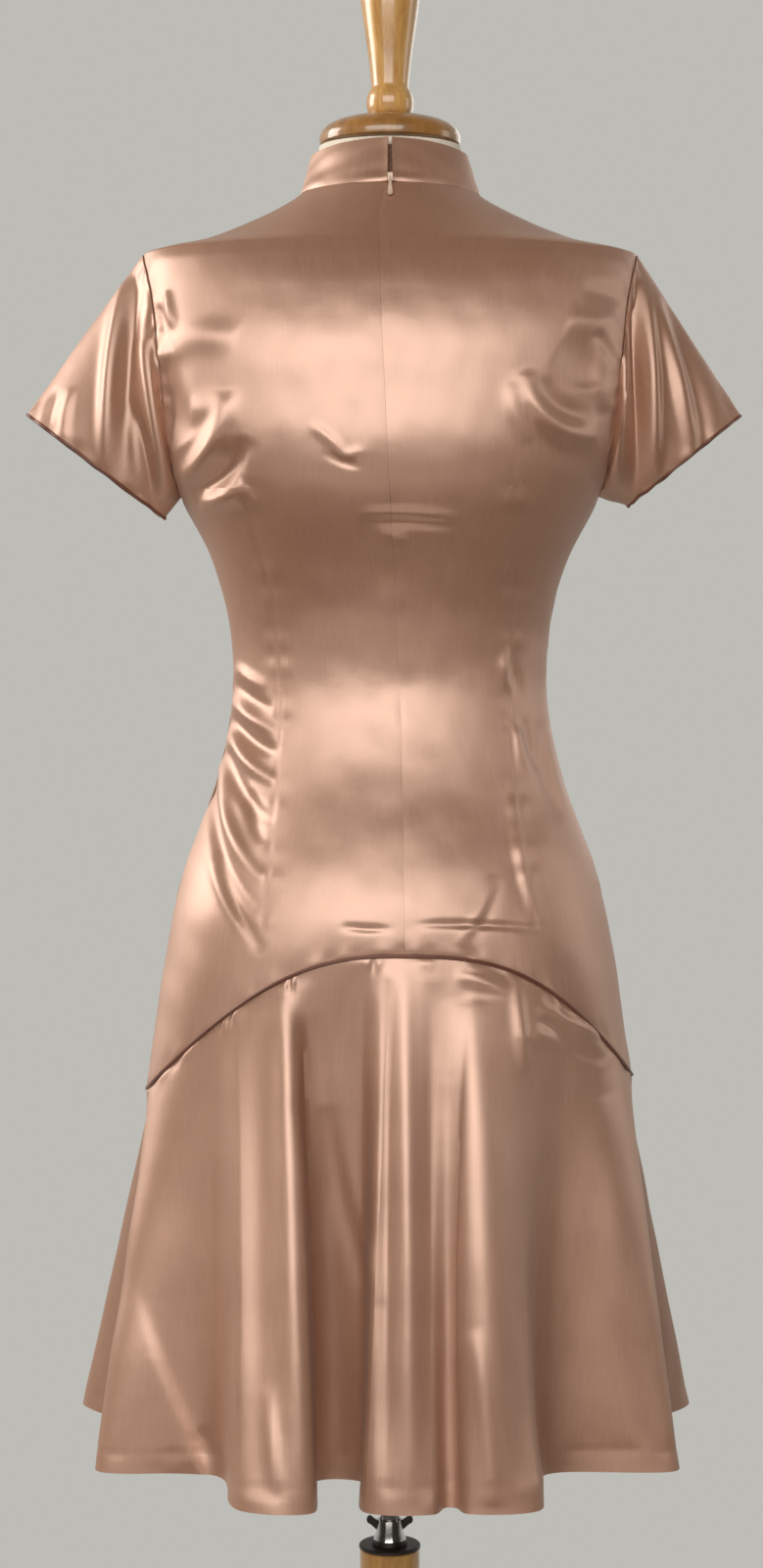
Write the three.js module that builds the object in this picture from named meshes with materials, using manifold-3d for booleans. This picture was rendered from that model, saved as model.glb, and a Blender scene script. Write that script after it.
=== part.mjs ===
// A short-sleeved cheongsam dress in satin, standing on a limbless dress form with a tripod stand.
// Millimetres, +Z up. The floor is z = 0 and the pole's axis is the Z axis. The dress faces -Y,
// so its back is towards +Y and the wearer's left is towards +X.
// Angles round the body run from the centre back (0) to the wearer's left side (90) and the
// centre front (180).

import * as THREE from "three";
import { mergeVertices } from "three/addons/utils/BufferGeometryUtils.js";
import Module from "manifold-3d";

const wasm = await Module();
wasm.setup();

// ---- Driving dimensions ----

const CLOTH = 1.5; // wall of the satin with its seam allowances
const FORM_GAP = 2.5; // between the cloth and the form
const SEAM_GAP = 0.3; // between two pieces sewn together
const FIT_GAP = 0.3; // between two hard pieces that touch
const HEM_Z = 411;
const SEAM_PEAK_Z = 815; // the hip seam at the centre back and centre front
const SEAM_DROP = 119; // how much lower the hip seam is at the wearer's left side
const SEAM_DROP_RIGHT = 108; // and at the right side, where it falls later
const SEAM_FALL = 2;
const SEAM_FALL_RIGHT = 2.8;
const NECK_Z = 1421; // the neckline at the back and sides
const FRONT_NECK_DROP = 45;
const YOKE_Z = 1330; // above this the rows of the bodice bend to follow the neckline
const COLLAR_HEIGHT = 37;
const COLLAR_WALL = 1.8;
const COLLAR_LEAN = 11; // how far the collar's top edge leans in at the sides
const COLLAR_CORNER = 14; // radius of the collar's front corners
const ZIP_OPENING = 4.6; // between the collar's back edges
const ARMHOLE = { z: 1276, halfHeight: 97, halfDepth: 52 };
const ROUND_STEPS = 40; // facets round the body
const PIPING_R = 1.3;
const PIPING_LIFT = 1.9; // of the cord above the cloth that it lies on
const FORM_BOTTOM_Z = 700;
const NECK_TOP_Z = 1461;
const POLE_R = 8;
const BORE_R = 8.6;
const HUB_R = 24.5;
const HUB_TOP_Z = 317;
const FOOT_REACH = 240;

// Level sections of the dress, measured to the outside of the cloth: half width, depth behind
// and before the axis, and the power of the oval (2 is an ellipse, more is squarer).
const SECTIONS = [
  { z: 650, width: 198, back: 116, front: 106, power: 2.3 },
  { z: 700, width: 198, back: 126, front: 110, power: 2.3 },
  { z: 735, width: 193, back: 134, front: 112, power: 2.3 },
  { z: 785, width: 186, back: 140, front: 112, power: 2.3 },
  { z: 820, width: 180, back: 139, front: 110, power: 2.3 },
  { z: 860, width: 172, back: 132, front: 108, power: 2.3 },
  { z: 890, width: 163, back: 122, front: 106, power: 2.3 },
  { z: 916, width: 152, back: 112, front: 104, power: 2.2 },
  { z: 944, width: 142, back: 101, front: 101, power: 2.2 },
  { z: 984, width: 132, back: 89, front: 98, power: 2.2 },
  { z: 1024, width: 127, back: 82, front: 97, power: 2.2 },
  { z: 1064, width: 129, back: 83, front: 101, power: 2.2 },
  { z: 1104, width: 137, back: 91, front: 110, power: 2.3 },
  { z: 1144, width: 151, back: 101, front: 119, power: 2.4 },
  { z: 1179, width: 171, back: 108, front: 122, power: 2.4 },
  { z: 1230, width: 188, back: 114, front: 116, power: 2.5 },
  { z: 1280, width: 196, back: 114, front: 104, power: 2.5 },
  { z: 1330, width: 200, back: 105, front: 89, power: 2.4 },
  { z: 1360, width: 201, back: 95, front: 76, power: 2.3 },
  { z: 1372, width: 200, back: 89, front: 70, power: 2.2 },
  { z: 1381, width: 160, back: 84, front: 65, power: 2.1 },
  { z: 1395, width: 121, back: 76, front: 60, power: 2 },
  { z: 1415, width: 81, back: 65, front: 57, power: 2 },
  { z: 1421, width: 73, back: 62, front: 56, power: 2 },
];

// The bust of the form: two soft rises on the front.
const BUST = { x: 86, z: 1196, rise: 20, reach: 52 };

// Rows of the bodice between the hip seam and the neckline.
const BODICE_LEVELS = [
  890, 930, 975, 1024, 1070, 1110, 1144, 1179, 1230, 1280, 1330, 1360, 1372, 1381, 1395, 1408,
  1421,
];
const SEAT_SHARES = [0, 0.25, 0.5, 0.75]; // rows between the hip seam and the first level above

// The skirt's hem, one row for each crest, hollow or flat, going round from the centre back by the
// wearer's left. Each runs from (x1, y1) to (x2, y2), and hangs from the hip seam between the
// angles seam1 and seam2.
const HEM_FOLDS = [
  { fold: "back centre crest", x1: -33, y1: 227, x2: 19, y2: 223, seam1: -8, seam2: 0 },
  { fold: "back left hollow", x1: 24, y1: 140, x2: 55, y2: 139, seam1: 5, seam2: 19 },
  { fold: "back left crest", x1: 58, y1: 225, x2: 112, y2: 218, seam1: 24, seam2: 36 },
  { fold: "left back flat", x1: 137, y1: 124, x2: 227, y2: 112, seam1: 44, seam2: 73 },
  { fold: "left side hollow", x1: 213, y1: 44, x2: 209, y2: -16, seam1: 83, seam2: 91 },
  { fold: "left front crest", x1: 263, y1: -100, x2: 245, y2: -137, seam1: 103, seam2: 110 },
  { fold: "left front hollow", x1: 192, y1: -127, x2: 172, y2: -136, seam1: 118, seam2: 123 },
  { fold: "front left crest", x1: 164, y1: -206, x2: 118, y2: -220, seam1: 132, seam2: 142 },
  { fold: "front left hollow", x1: 104, y1: -150, x2: 78, y2: -149, seam1: 148, seam2: 155 },
  { fold: "front near-left crest", x1: 70, y1: -226, x2: 28, y2: -229, seam1: 162, seam2: 170 },
  { fold: "front centre hollow", x1: 15, y1: -150, x2: -16, y2: -148, seam1: 176, seam2: 184 },
  { fold: "front near-right crest", x1: -24, y1: -224, x2: -76, y2: -228, seam1: 190, seam2: 200 },
  { fold: "front right hollow", x1: -88, y1: -152, x2: -112, y2: -147, seam1: 206, seam2: 213 },
  { fold: "front right crest", x1: -124, y1: -216, x2: -166, y2: -198, seam1: 219, seam2: 229 },
  { fold: "right front hollow", x1: -176, y1: -134, x2: -194, y2: -122, seam1: 237, seam2: 243 },
  { fold: "right front crest", x1: -241, y1: -138, x2: -257, y2: -101, seam1: 250, seam2: 257 },
  { fold: "right side hollow", x1: -206, y1: -14, x2: -209, y2: 42, seam1: 269, seam2: 277 },
  { fold: "right back flat", x1: -224, y1: 110, x2: -122, y2: 122, seam1: 287, seam2: 314 },
  { fold: "back right crest", x1: -109, y1: 219, x2: -57, y2: 226, seam1: 329, seam2: 342 },
  { fold: "back right dip", x1: -49, y1: 211, x2: -41, y2: 210, seam1: 345, seam2: 348 },
];
const STEPS_PER_TURN = 3; // facets between two of the points above
const SKIRT_LEVELS = [0, 0.1, 0.28, 0.5, 0.75, 1]; // shares of the way from the hip seam to the hem

// The sleeves: side is the sign of x; outer and under are the hem's two corners seen from behind.
const SLEEVES = [
  { name: "left", side: 1, outerX: 294, outerZ: 1245, underX: 184, underZ: 1162 },
  { name: "right", side: -1, outerX: 284, outerZ: 1244, underX: 194, underZ: 1172 },
];
const SLEEVE_HALF_DEPTH = 36;
const SLEEVE_CORNER_POWER = 1.35; // above 1 draws the hem to a corner at each end
const SLEEVE_LEVELS = [0, 0.25, 0.5, 0.75, 1];
const SLEEVE_STEPS = 28;

// ---- Small tools ----

const radians = (degrees) => (degrees * Math.PI) / 180;
const vec = (x, y, z) => new THREE.Vector3(x, y, z);
const lerp = (a, b, share) => a + (b - a) * share;
const signedPower = (value, power) => Math.sign(value) * Math.abs(value) ** power;

// A value of a table at height z, on a smooth curve through its rows.
function tableAt(rows, key, z) {
  const last = rows.length - 1;
  let i = rows.findIndex((row) => row.z > z) - 1;
  if (z <= rows[0].z) i = 0;
  if (z >= rows[last].z) i = last - 1;
  const slope = (a, b) => (rows[b][key] - rows[a][key]) / (rows[b].z - rows[a].z);
  const span = rows[i + 1].z - rows[i].z;
  const here = slope(i, i + 1);
  const tangent = (k) => {
    if (k === 0 || k === last) return here;
    const before = slope(k - 1, k);
    const after = slope(k, k + 1);
    return before * after <= 0 ? 0 : (2 * before * after) / (before + after);
  };
  const s = Math.min(1, Math.max(0, (z - rows[i].z) / span));
  const stay = s * s * (3 - 2 * s);
  return (
    lerp(rows[i][key], rows[i + 1][key], stay) +
    span * (s * (1 - s) * (1 - s) * tangent(i) - s * s * (1 - s) * tangent(i + 1))
  );
}

// Outward normals of a grid of points, rows by columns. A wrapped grid is closed round its columns.
function gridNormals(grid, wrapped) {
  return grid.map((row, r) =>
    row.map((point, c) => {
      const n = row.length;
      const left = wrapped ? row[(c + n - 1) % n] : row[Math.max(0, c - 1)];
      const right = wrapped ? row[(c + 1) % n] : row[Math.min(n - 1, c + 1)];
      const below = grid[Math.max(0, r - 1)][c];
      const above = grid[Math.min(grid.length - 1, r + 1)][c];
      const across = right.clone().sub(left);
      return above.clone().sub(below).cross(across).normalize();
    }),
  );
}

// The same grid, moved by a distance along its normals.
function movedGrid(grid, normals, distance) {
  return grid.map((row, r) =>
    row.map((point, c) => point.clone().addScaledVector(normals[r][c], distance)),
  );
}

// A closed wall between two grids of the same size, with its faces turned outwards.
function wallGeometry(outer, inner, wrapped) {
  const rows = outer.length;
  const columns = outer[0].length;
  const points = [...outer.flat(), ...inner.flat()];
  const at = (layer, r, c) => layer * rows * columns + r * columns + (c % columns);
  const index = [];
  const quad = (a, b, c, d) => index.push(a, b, c, a, c, d);
  const spans = wrapped ? columns : columns - 1;
  for (let c = 0; c < spans; c++) {
    for (let r = 0; r < rows - 1; r++) {
      quad(at(0, r, c), at(0, r + 1, c), at(0, r + 1, c + 1), at(0, r, c + 1));
      quad(at(1, r, c), at(1, r, c + 1), at(1, r + 1, c + 1), at(1, r + 1, c));
    }
    quad(at(0, 0, c), at(0, 0, c + 1), at(1, 0, c + 1), at(1, 0, c));
    const top = rows - 1;
    quad(at(0, top, c), at(1, top, c), at(1, top, c + 1), at(0, top, c + 1));
  }
  if (!wrapped) {
    for (let r = 0; r < rows - 1; r++) {
      quad(at(0, r, 0), at(1, r, 0), at(1, r + 1, 0), at(0, r + 1, 0));
      const end = columns - 1;
      quad(at(0, r, end), at(0, r + 1, end), at(1, r + 1, end), at(1, r, end));
    }
  }
  return facingOut(points, index);
}

// A closed solid from a stack of rings, each a list of points, with flat ends.
function stackGeometry(rings) {
  const columns = rings[0].length;
  const points = rings.flat();
  const index = [];
  for (let r = 0; r < rings.length - 1; r++) {
    for (let c = 0; c < columns; c++) {
      const a = r * columns + c;
      const b = r * columns + ((c + 1) % columns);
      index.push(a, a + columns, b + columns, a, b + columns, b);
    }
  }
  for (const r of [0, rings.length - 1]) {
    const middle = new THREE.Vector3();
    rings[r].forEach((point) => middle.addScaledVector(point, 1 / columns));
    const centre = points.push(middle) - 1;
    for (let c = 0; c < columns; c++) {
      const a = r * columns + c;
      const b = r * columns + ((c + 1) % columns);
      index.push(...(r === 0 ? [centre, a, b] : [centre, b, a]));
    }
  }
  return facingOut(points, index);
}

// A geometry of these triangles, turned round if they enclose a negative volume.
function facingOut(points, index) {
  let volume = 0;
  for (let i = 0; i < index.length; i += 3) {
    const [a, b, c] = [points[index[i]], points[index[i + 1]], points[index[i + 2]]];
    volume += a.dot(b.clone().cross(c));
  }
  if (volume < 0) index.reverse();
  return new THREE.BufferGeometry().setFromPoints(points).setIndex(index);
}

// A three.js geometry as a solid for joining and cutting, and back.
function toSolid(geometry) {
  const bare = geometry.clone();
  bare.deleteAttribute("normal");
  bare.deleteAttribute("uv");
  const merged = mergeVertices(bare, 1e-3);
  return new wasm.Manifold(
    new wasm.Mesh({
      numProp: 3,
      vertProperties: new Float32Array(merged.attributes.position.array),
      triVerts: new Uint32Array(merged.index.array),
    }),
  );
}

function fromSolid(solid) {
  const mesh = solid.getMesh();
  return new THREE.BufferGeometry()
    .setAttribute("position", new THREE.BufferAttribute(new Float32Array(mesh.vertProperties), 3))
    .setIndex(new THREE.BufferAttribute(new Uint32Array(mesh.triVerts), 1));
}

const joined = (...parts) => fromSolid(parts.map(toSolid).reduce((all, part) => all.add(part)));
const cut = (part, ...cutters) =>
  fromSolid(cutters.map(toSolid).reduce((left, cutter) => left.subtract(cutter), toSolid(part)));

const turned = (profile, steps) =>
  new THREE.LatheGeometry(profile.map(([r, z]) => new THREE.Vector2(r, z)), steps).rotateX(
    Math.PI / 2,
  );

// ---- Materials ----

const satin = new THREE.MeshStandardMaterial({ color: 0xb98a73, roughness: 0.35, metalness: 0.3 });
const pipingSatin = new THREE.MeshStandardMaterial({ color: 0x5e3324, roughness: 0.4 });
const zipTapeCloth = new THREE.MeshStandardMaterial({ color: 0x7a5544, roughness: 0.8 });
const zipMetal = new THREE.MeshStandardMaterial({ color: 0xc9a893, roughness: 0.35, metalness: 0.6 });
const formJersey = new THREE.MeshStandardMaterial({ color: 0xe8e0d2, roughness: 0.9 });
const beech = new THREE.MeshStandardMaterial({ color: 0xb98a4e, roughness: 0.35 });
const chrome = new THREE.MeshStandardMaterial({ color: 0xc8c8c6, roughness: 0.15, metalness: 1 });
const blackMetal = new THREE.MeshStandardMaterial({ color: 0x1f1a17, roughness: 0.5 });

const group = new THREE.Group();

function addPiece(name, geometry, material) {
  const mesh = new THREE.Mesh(geometry, material);
  mesh.name = name;
  group.add(mesh);
  return mesh;
}

// ---- The dress's surface ----

// A point of the dress's outer surface, at an angle round the body and a height.
function bodyPoint(angle, z) {
  const t = radians(angle);
  const power = 2 / tableAt(SECTIONS, "power", z);
  const x = tableAt(SECTIONS, "width", z) * signedPower(Math.sin(t), power);
  const behind = Math.cos(t) > 0;
  let y = tableAt(SECTIONS, behind ? "back" : "front", z) * signedPower(Math.cos(t), power);
  if (!behind) {
    const off = (Math.abs(x) - BUST.x) ** 2 + (z - BUST.z) ** 2;
    const round = Math.min(1, -2 * Math.cos(t));
    y -= BUST.rise * round * Math.exp(-off / (2 * BUST.reach ** 2));
  }
  return vec(x, y, z);
}

const seamZ = (angle) => {
  const across = Math.sin(radians(angle));
  const left = SEAM_DROP * Math.abs(across) ** SEAM_FALL;
  const right = SEAM_DROP_RIGHT * Math.abs(across) ** SEAM_FALL_RIGHT;
  return SEAM_PEAK_Z - (across > 0 ? left : right);
};

function neckZ(angle) {
  const forward = Math.max(0, -Math.cos(radians(angle)));
  return NECK_Z - FRONT_NECK_DROP * forward ** 2;
}

// The height of a row of the bodice at an angle: rows near the neck bend to follow the neckline.
function rowZ(level, angle) {
  if (level <= YOKE_Z) return level;
  return YOKE_Z + ((level - YOKE_Z) * (neckZ(angle) - YOKE_Z)) / (NECK_Z - YOKE_Z);
}

function bodiceGrid() {
  const angles = Array.from({ length: ROUND_STEPS }, (_, i) => (i * 360) / ROUND_STEPS);
  const seat = SEAT_SHARES.map((share) =>
    angles.map((a) => bodyPoint(a, lerp(seamZ(a) + SEAM_GAP / 2, BODICE_LEVELS[0], share))),
  );
  const rows = BODICE_LEVELS.map((level) => angles.map((a) => bodyPoint(a, rowZ(level, a))));
  return [...seat, ...rows];
}

// The columns first to last of a wrapped grid, drawn in by half a seam gap at each side edge.
function panelGrid(grid, first, last) {
  return grid.map((row) => {
    const n = row.length;
    const points = [];
    for (let c = first; c <= last; c++) points.push(row[(c + n) % n].clone());
    const end = points.length - 1;
    const towards = (from, to) => to.clone().sub(from).setLength(SEAM_GAP / 2 + 0.05);
    const start = points[0].clone().add(towards(points[0], points[1]));
    points[end] = points[end].clone().add(towards(points[end], points[end - 1]));
    points[0] = start;
    return points;
  });
}

function panel(outer, inner, first, last) {
  return wallGeometry(panelGrid(outer, first, last), panelGrid(inner, first, last), false);
}

// ---- Bodice ----

// An oval bar through both armholes' side of the body, that cuts the armhole out of a panel.
function armholeCutter(side) {
  const oval = new THREE.Shape();
  oval.absellipse(0, 0, ARMHOLE.halfDepth, ARMHOLE.halfHeight, 0, 2 * Math.PI, false, 0);
  const reach = 160;
  return new THREE.ExtrudeGeometry(oval, { depth: reach, bevelEnabled: false, curveSegments: 18 })
    .rotateX(Math.PI / 2)
    .rotateZ(Math.PI / 2)
    .translate(side > 0 ? SECTIONS[0].width / 2 : -SECTIONS[0].width / 2 - reach, 0, ARMHOLE.z);
}

const bodice = bodiceGrid();
const bodiceNormals = gridNormals(bodice, true);
const bodiceInner = movedGrid(bodice, bodiceNormals, -CLOTH);

function addBodice() {
  const quarter = ROUND_STEPS / 4;
  const leftHole = armholeCutter(1);
  const rightHole = armholeCutter(-1);
  const backLeft = panel(bodice, bodiceInner, 0, quarter);
  const backRight = panel(bodice, bodiceInner, -quarter, 0);
  const front = panel(bodice, bodiceInner, quarter, 3 * quarter);
  addPiece("back_left", cut(backLeft, leftHole), satin);
  addPiece("back_right", cut(backRight, rightHole), satin);
  addPiece("front", cut(front, leftHole, rightHole), satin);
}

// ---- Skirt ----

// The hem as a smooth closed line through both ends of every fold, and the angle on the hip seam
// that each of its points hangs from.
function skirtGrid() {
  const corners = HEM_FOLDS.flatMap((f) => [
    { point: vec(f.x1, f.y1, HEM_Z), seam: f.seam1 },
    { point: vec(f.x2, f.y2, HEM_Z), seam: f.seam2 },
  ]);
  const line = new THREE.CatmullRomCurve3(
    corners.map((c) => c.point),
    true,
  );
  const count = corners.length * STEPS_PER_TURN;
  const stations = Array.from({ length: count }, (_, i) => {
    const k = Math.floor(i / STEPS_PER_TURN);
    const next = (k + 1) % corners.length;
    const wrap = next === 0 ? 360 : 0;
    const share = i / STEPS_PER_TURN - k;
    return {
      hem: line.getPoint(i / count),
      seam: lerp(corners[k].seam, corners[next].seam + wrap, share),
    };
  });
  return SKIRT_LEVELS.map((s) =>
    stations.map(({ hem, seam }) => {
      const top = bodyPoint(seam, seamZ(seam) - SEAM_GAP / 2);
      return top.lerp(hem, s);
    }),
  );
}

// The number of the column that hangs nearest an angle on the hip seam.
function columnAt(grid, angle) {
  const wanted = bodyPoint(angle, seamZ(angle));
  let best = 0;
  grid[0].forEach((point, c) => {
    if (point.distanceTo(wanted) < grid[0][best].distanceTo(wanted)) best = c;
  });
  return best;
}

function addSkirt() {
  const outer = skirtGrid();
  const inner = movedGrid(outer, gridNormals(outer, true), -CLOTH);
  const columns = outer[0].length;
  const back = columnAt(outer, 0);
  const left = columnAt(outer, 90);
  const right = columnAt(outer, 270);
  addPiece("skirt_back_left", panel(outer, inner, back, left), satin);
  addPiece("skirt_back_right", panel(outer, inner, right - columns, back), satin);
  addPiece("skirt_front", panel(outer, inner, left, right), satin);
}

// A round cord laid on the hip seam.
function addSeamPiping() {
  const centres = Array.from({ length: ROUND_STEPS }, (_, i) => {
    const angle = (i * 360) / ROUND_STEPS;
    const across = bodyPoint(angle + 1, seamZ(angle)).sub(bodyPoint(angle - 1, seamZ(angle)));
    const up = bodyPoint(angle, seamZ(angle) + 5).sub(bodyPoint(angle, seamZ(angle) - 5));
    const out = up.cross(across).setLength(PIPING_R + PIPING_LIFT);
    return bodyPoint(angle, seamZ(angle) + PIPING_R).add(out);
  });
  const line = new THREE.CatmullRomCurve3(centres, true);
  addPiece("seam_piping", new THREE.TubeGeometry(line, ROUND_STEPS, PIPING_R, 6, true), pipingSatin);
}

// ---- Sleeves ----

// The width of the dress's outer surface at a depth and height.
function bodyWidthAt(y, z) {
  const depth = tableAt(SECTIONS, y > 0 ? "back" : "front", z);
  const power = tableAt(SECTIONS, "power", z);
  return tableAt(SECTIONS, "width", z) * (1 - Math.abs(y / depth) ** power) ** (1 / power);
}

function sleeveGrid(sleeve) {
  const outer = vec(sleeve.outerX, 0, sleeve.outerZ);
  const under = vec(sleeve.underX, 0, sleeve.underZ);
  const centre = outer.clone().add(under).multiplyScalar(0.5);
  const along = outer.clone().sub(under).multiplyScalar(0.5);
  return SLEEVE_LEVELS.map((s) =>
    Array.from({ length: SLEEVE_STEPS }, (_, i) => {
      const t = (i * 2 * Math.PI) / SLEEVE_STEPS;
      const y = (ARMHOLE.halfDepth - SEAM_GAP - 0.2) * Math.sin(t);
      const z = ARMHOLE.z + (ARMHOLE.halfHeight - SEAM_GAP - 0.2) * Math.cos(t);
      const top = vec(bodyWidthAt(y, z), y, z);
      const hem = centre.clone().addScaledVector(along, Math.cos(t));
      hem.y = SLEEVE_HALF_DEPTH * signedPower(Math.sin(t), SLEEVE_CORNER_POWER);
      const point = top.lerp(hem, s);
      return vec(point.x * sleeve.side, point.y, point.z);
    }),
  );
}

function addSleeve(sleeve) {
  const outer = sleeveGrid(sleeve);
  const normals = gridNormals(outer, true);
  const middle = outer[2].reduce((sum, p) => sum.add(p), vec(0, 0, 0)).divideScalar(SLEEVE_STEPS);
  const outwards = normals[2][0].dot(outer[2][0].clone().sub(middle)) > 0 ? 1 : -1;
  const inner = movedGrid(outer, normals, -CLOTH * outwards);
  addPiece(`sleeve_${sleeve.name}`, wallGeometry(outer, inner, true), satin);
  const last = SLEEVE_LEVELS.length - 1;
  const centres = outer[last].map((point, c) => {
    const edge = point.clone().add(inner[last][c]).multiplyScalar(0.5);
    const down = point.clone().sub(outer[last - 1][c]).setLength(PIPING_R + SEAM_GAP);
    return edge.add(down);
  });
  const line = new THREE.CatmullRomCurve3(centres, true);
  const piping = new THREE.TubeGeometry(line, SLEEVE_STEPS, PIPING_R, 6, true);
  addPiece(`sleeve_piping_${sleeve.name}`, piping, pipingSatin);
}

// ---- Collar and zip ----

// A half of the standing collar, from the centre back to the centre front.
function addCollar(name, side) {
  const steps = ROUND_STEPS / 2;
  const backAngle = (Math.asin(ZIP_OPENING / 2 / tableAt(SECTIONS, "width", NECK_Z)) * 180) / Math.PI;
  const frontAngle = 180 - 0.8;
  const outer = [[], [], []];
  for (let i = 0; i <= steps; i++) {
    const angle = Math.min(frontAngle, Math.max(backAngle, (i * 180) / steps));
    const foot = bodyPoint(angle, neckZ(angle)).add(vec(0, 0, SEAM_GAP));
    const fromFront = Math.abs(foot.x);
    const short = angle > 90 ? Math.max(0, COLLAR_CORNER - fromFront) : 0;
    const rounded = COLLAR_CORNER - Math.sqrt(COLLAR_CORNER ** 2 - short ** 2);
    const height = COLLAR_HEIGHT - rounded;
    const lean = (COLLAR_LEAN * height) / COLLAR_HEIGHT;
    const inwards = vec(foot.x, foot.y, 0).setLength(lean);
    const top = foot.clone().sub(inwards).add(vec(0, 0, height));
    for (const [r, share] of [0, 0.5, 1].entries()) {
      const point = foot.clone().lerp(top, share);
      outer[r].push(vec(point.x * side, point.y, point.z));
    }
  }
  if (side < 0) outer.forEach((row) => row.reverse());
  const inner = movedGrid(outer, gridNormals(outer, false), -COLLAR_WALL);
  addPiece(name, wallGeometry(outer, inner, false), satin);
}

// The woven tape of the zip, behind the opening of the back from the neck to the seat.
function addZipTape() {
  const levels = [850, 890, 930, 975, 1024, 1070, 1110, 1144, 1179, 1230, 1280, 1330, 1360, 1381];
  const halfWidth = 7;
  const strip = [...levels, 1395, 1408, 1421].map((z) =>
    [-halfWidth, 0, halfWidth].map((x) => vec(-x, bodyPoint(0, z).y, z)),
  );
  const collarTop = vec(0, bodyPoint(0, NECK_Z).y - COLLAR_LEAN, NECK_Z + COLLAR_HEIGHT - 4);
  strip.push([-halfWidth, 0, halfWidth].map((x) => vec(-x, collarTop.y, collarTop.z)));
  const normals = gridNormals(strip, false).map((row) =>
    row.map((n) => (n.y < 0 ? n.negate() : n)),
  );
  const sunk = CLOTH + SEAM_GAP + 0.35;
  const outer = movedGrid(strip, normals, -sunk);
  const inner = movedGrid(strip, normals, -sunk - 0.7);
  addPiece("zip_tape", wallGeometry(outer, inner, false), zipTapeCloth);
}

const ZIP = { width: 4, pivotZ: NECK_Z + 1.5, standOff: 3.4, barR: 0.6, eyeR: 1, barrelR: 1.9 };
const PULL = { length: 15, width: 4, thickness: 1, slope: 26 };

const zipPivot = () => vec(0, bodyPoint(0, NECK_Z).y + ZIP.standOff, ZIP.pivotZ);

function bar(radius, length) {
  return new THREE.CylinderGeometry(radius, radius, length, 16).rotateZ(Math.PI / 2);
}

// The slider stands in the gap between the collar's back edges and carries the bar of the pull tab.
function addZipSlider() {
  const pivot = zipPivot();
  const cheek = (side) =>
    new THREE.BoxGeometry(0.8, 4.6, 3).translate(side * (ZIP.width / 2 - 0.4), -1.5, 0);
  const body = new THREE.BoxGeometry(ZIP.width, 1.4, 7).translate(0, -3.2, 2.2);
  const slider = joined(body, cheek(1), cheek(-1), bar(ZIP.barR, ZIP.width - 0.2));
  slider.translate(pivot.x, pivot.y, pivot.z);
  addPiece("zip_slider", slider, zipMetal);
}

// The drop-shaped pull tab, lying down the slope of the back.
function addZipPull() {
  const half = PULL.width / 2;
  const drop = new THREE.Shape();
  drop.moveTo(-0.9, -1.2);
  drop.lineTo(-half, half - PULL.length);
  drop.absarc(0, half - PULL.length, half, Math.PI, 2 * Math.PI, false);
  drop.lineTo(0.9, -1.2);
  drop.closePath();
  const plate = new THREE.ExtrudeGeometry(drop, {
    depth: PULL.thickness,
    bevelEnabled: false,
    curveSegments: 6,
  })
    .translate(0, 0, -PULL.thickness / 2)
    .rotateX(Math.PI / 2);
  const barrel = bar(ZIP.barrelR, 2);
  const pull = cut(joined(plate, barrel), bar(ZIP.eyeR, 3));
  const pivot = zipPivot();
  pull.rotateX(radians(PULL.slope)).translate(pivot.x, pivot.y, pivot.z);
  addPiece("zip_pull", pull, zipMetal);
}

// ---- The form ----

// The hips of the form, which draw in below the hip seam and leave the skirt free.
const FORM_HIPS = [
  { z: FORM_BOTTOM_Z, drawnIn: 16 },
  { z: 730, drawnIn: 12 },
  { z: 765, drawnIn: 8 },
  { z: 800, drawnIn: 4 },
  { z: 840, drawnIn: 1 },
];

// The neck of the form above the dress's neckline, leaving room for the collar.
const NECK_RINGS = [
  { z: 1430, halfWidth: 62, halfDepth: 48 },
  { z: 1445, halfWidth: 58.5, halfDepth: 45.5 },
  { z: NECK_TOP_Z, halfWidth: 57.5, halfDepth: 45 },
];
const NECK_Y = -1;

// The smooth torso inside the dress, solid, with a flat bottom and the neck's flat top.
function addTorso() {
  const angles = Array.from({ length: ROUND_STEPS }, (_, i) => (i * 360) / ROUND_STEPS);
  const hips = FORM_HIPS.map(({ z }) => angles.map((a) => bodyPoint(a, z)));
  const rows = [...hips, ...bodice.slice(SEAT_SHARES.length)];
  const rings = movedGrid(rows, gridNormals(rows, true), -CLOTH - FORM_GAP);
  FORM_HIPS.forEach(({ z, drawnIn }, r) => {
    rings[r].forEach((point) => {
      const length = Math.hypot(point.x, point.y);
      point.multiplyScalar((length - drawnIn) / length).setZ(z);
    });
  });
  for (const { z, halfWidth, halfDepth } of NECK_RINGS) {
    rings.push(
      angles.map((a) =>
        vec(halfWidth * Math.sin(radians(a)), NECK_Y + halfDepth * Math.cos(radians(a)), z),
      ),
    );
  }
  addPiece("torso", stackGeometry(rings), formJersey);
}

// The turned wooden cap on the neck, and the finial that it carries.
function addNeckCap() {
  const base = NECK_TOP_Z + FIT_GAP;
  const cap = turned(
    [[0, 0], [55, 0], [57, 2.5], [57, 9], [53, 18], [44, 25], [32, 29], [19, 30.5], [0, 30.5]],
    36,
  );
  cap.scale(1, 0.88, 1).translate(0, NECK_Y, base);
  addPiece("neck_cap", cap, beech);
  const finial = turned(
    [
      [0, 0], [18, 0], [19.2, 3], [19.4, 8], [18.4, 13], [15, 17.5], [14.2, 20], [14.8, 24],
      [16.4, 40], [19, 60], [23, 82], [24.2, 87], [23.6, 90], [20, 92.5], [10, 95], [0, 95.6],
    ],
    24,
  );
  finial.translate(0, NECK_Y, base + 30.5 + FIT_GAP);
  addPiece("finial", finial, beech);
}

// ---- The stand ----

const HUB_BOTTOM_Z = 50;
const HUB_CAP_HEIGHT = 3;

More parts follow.
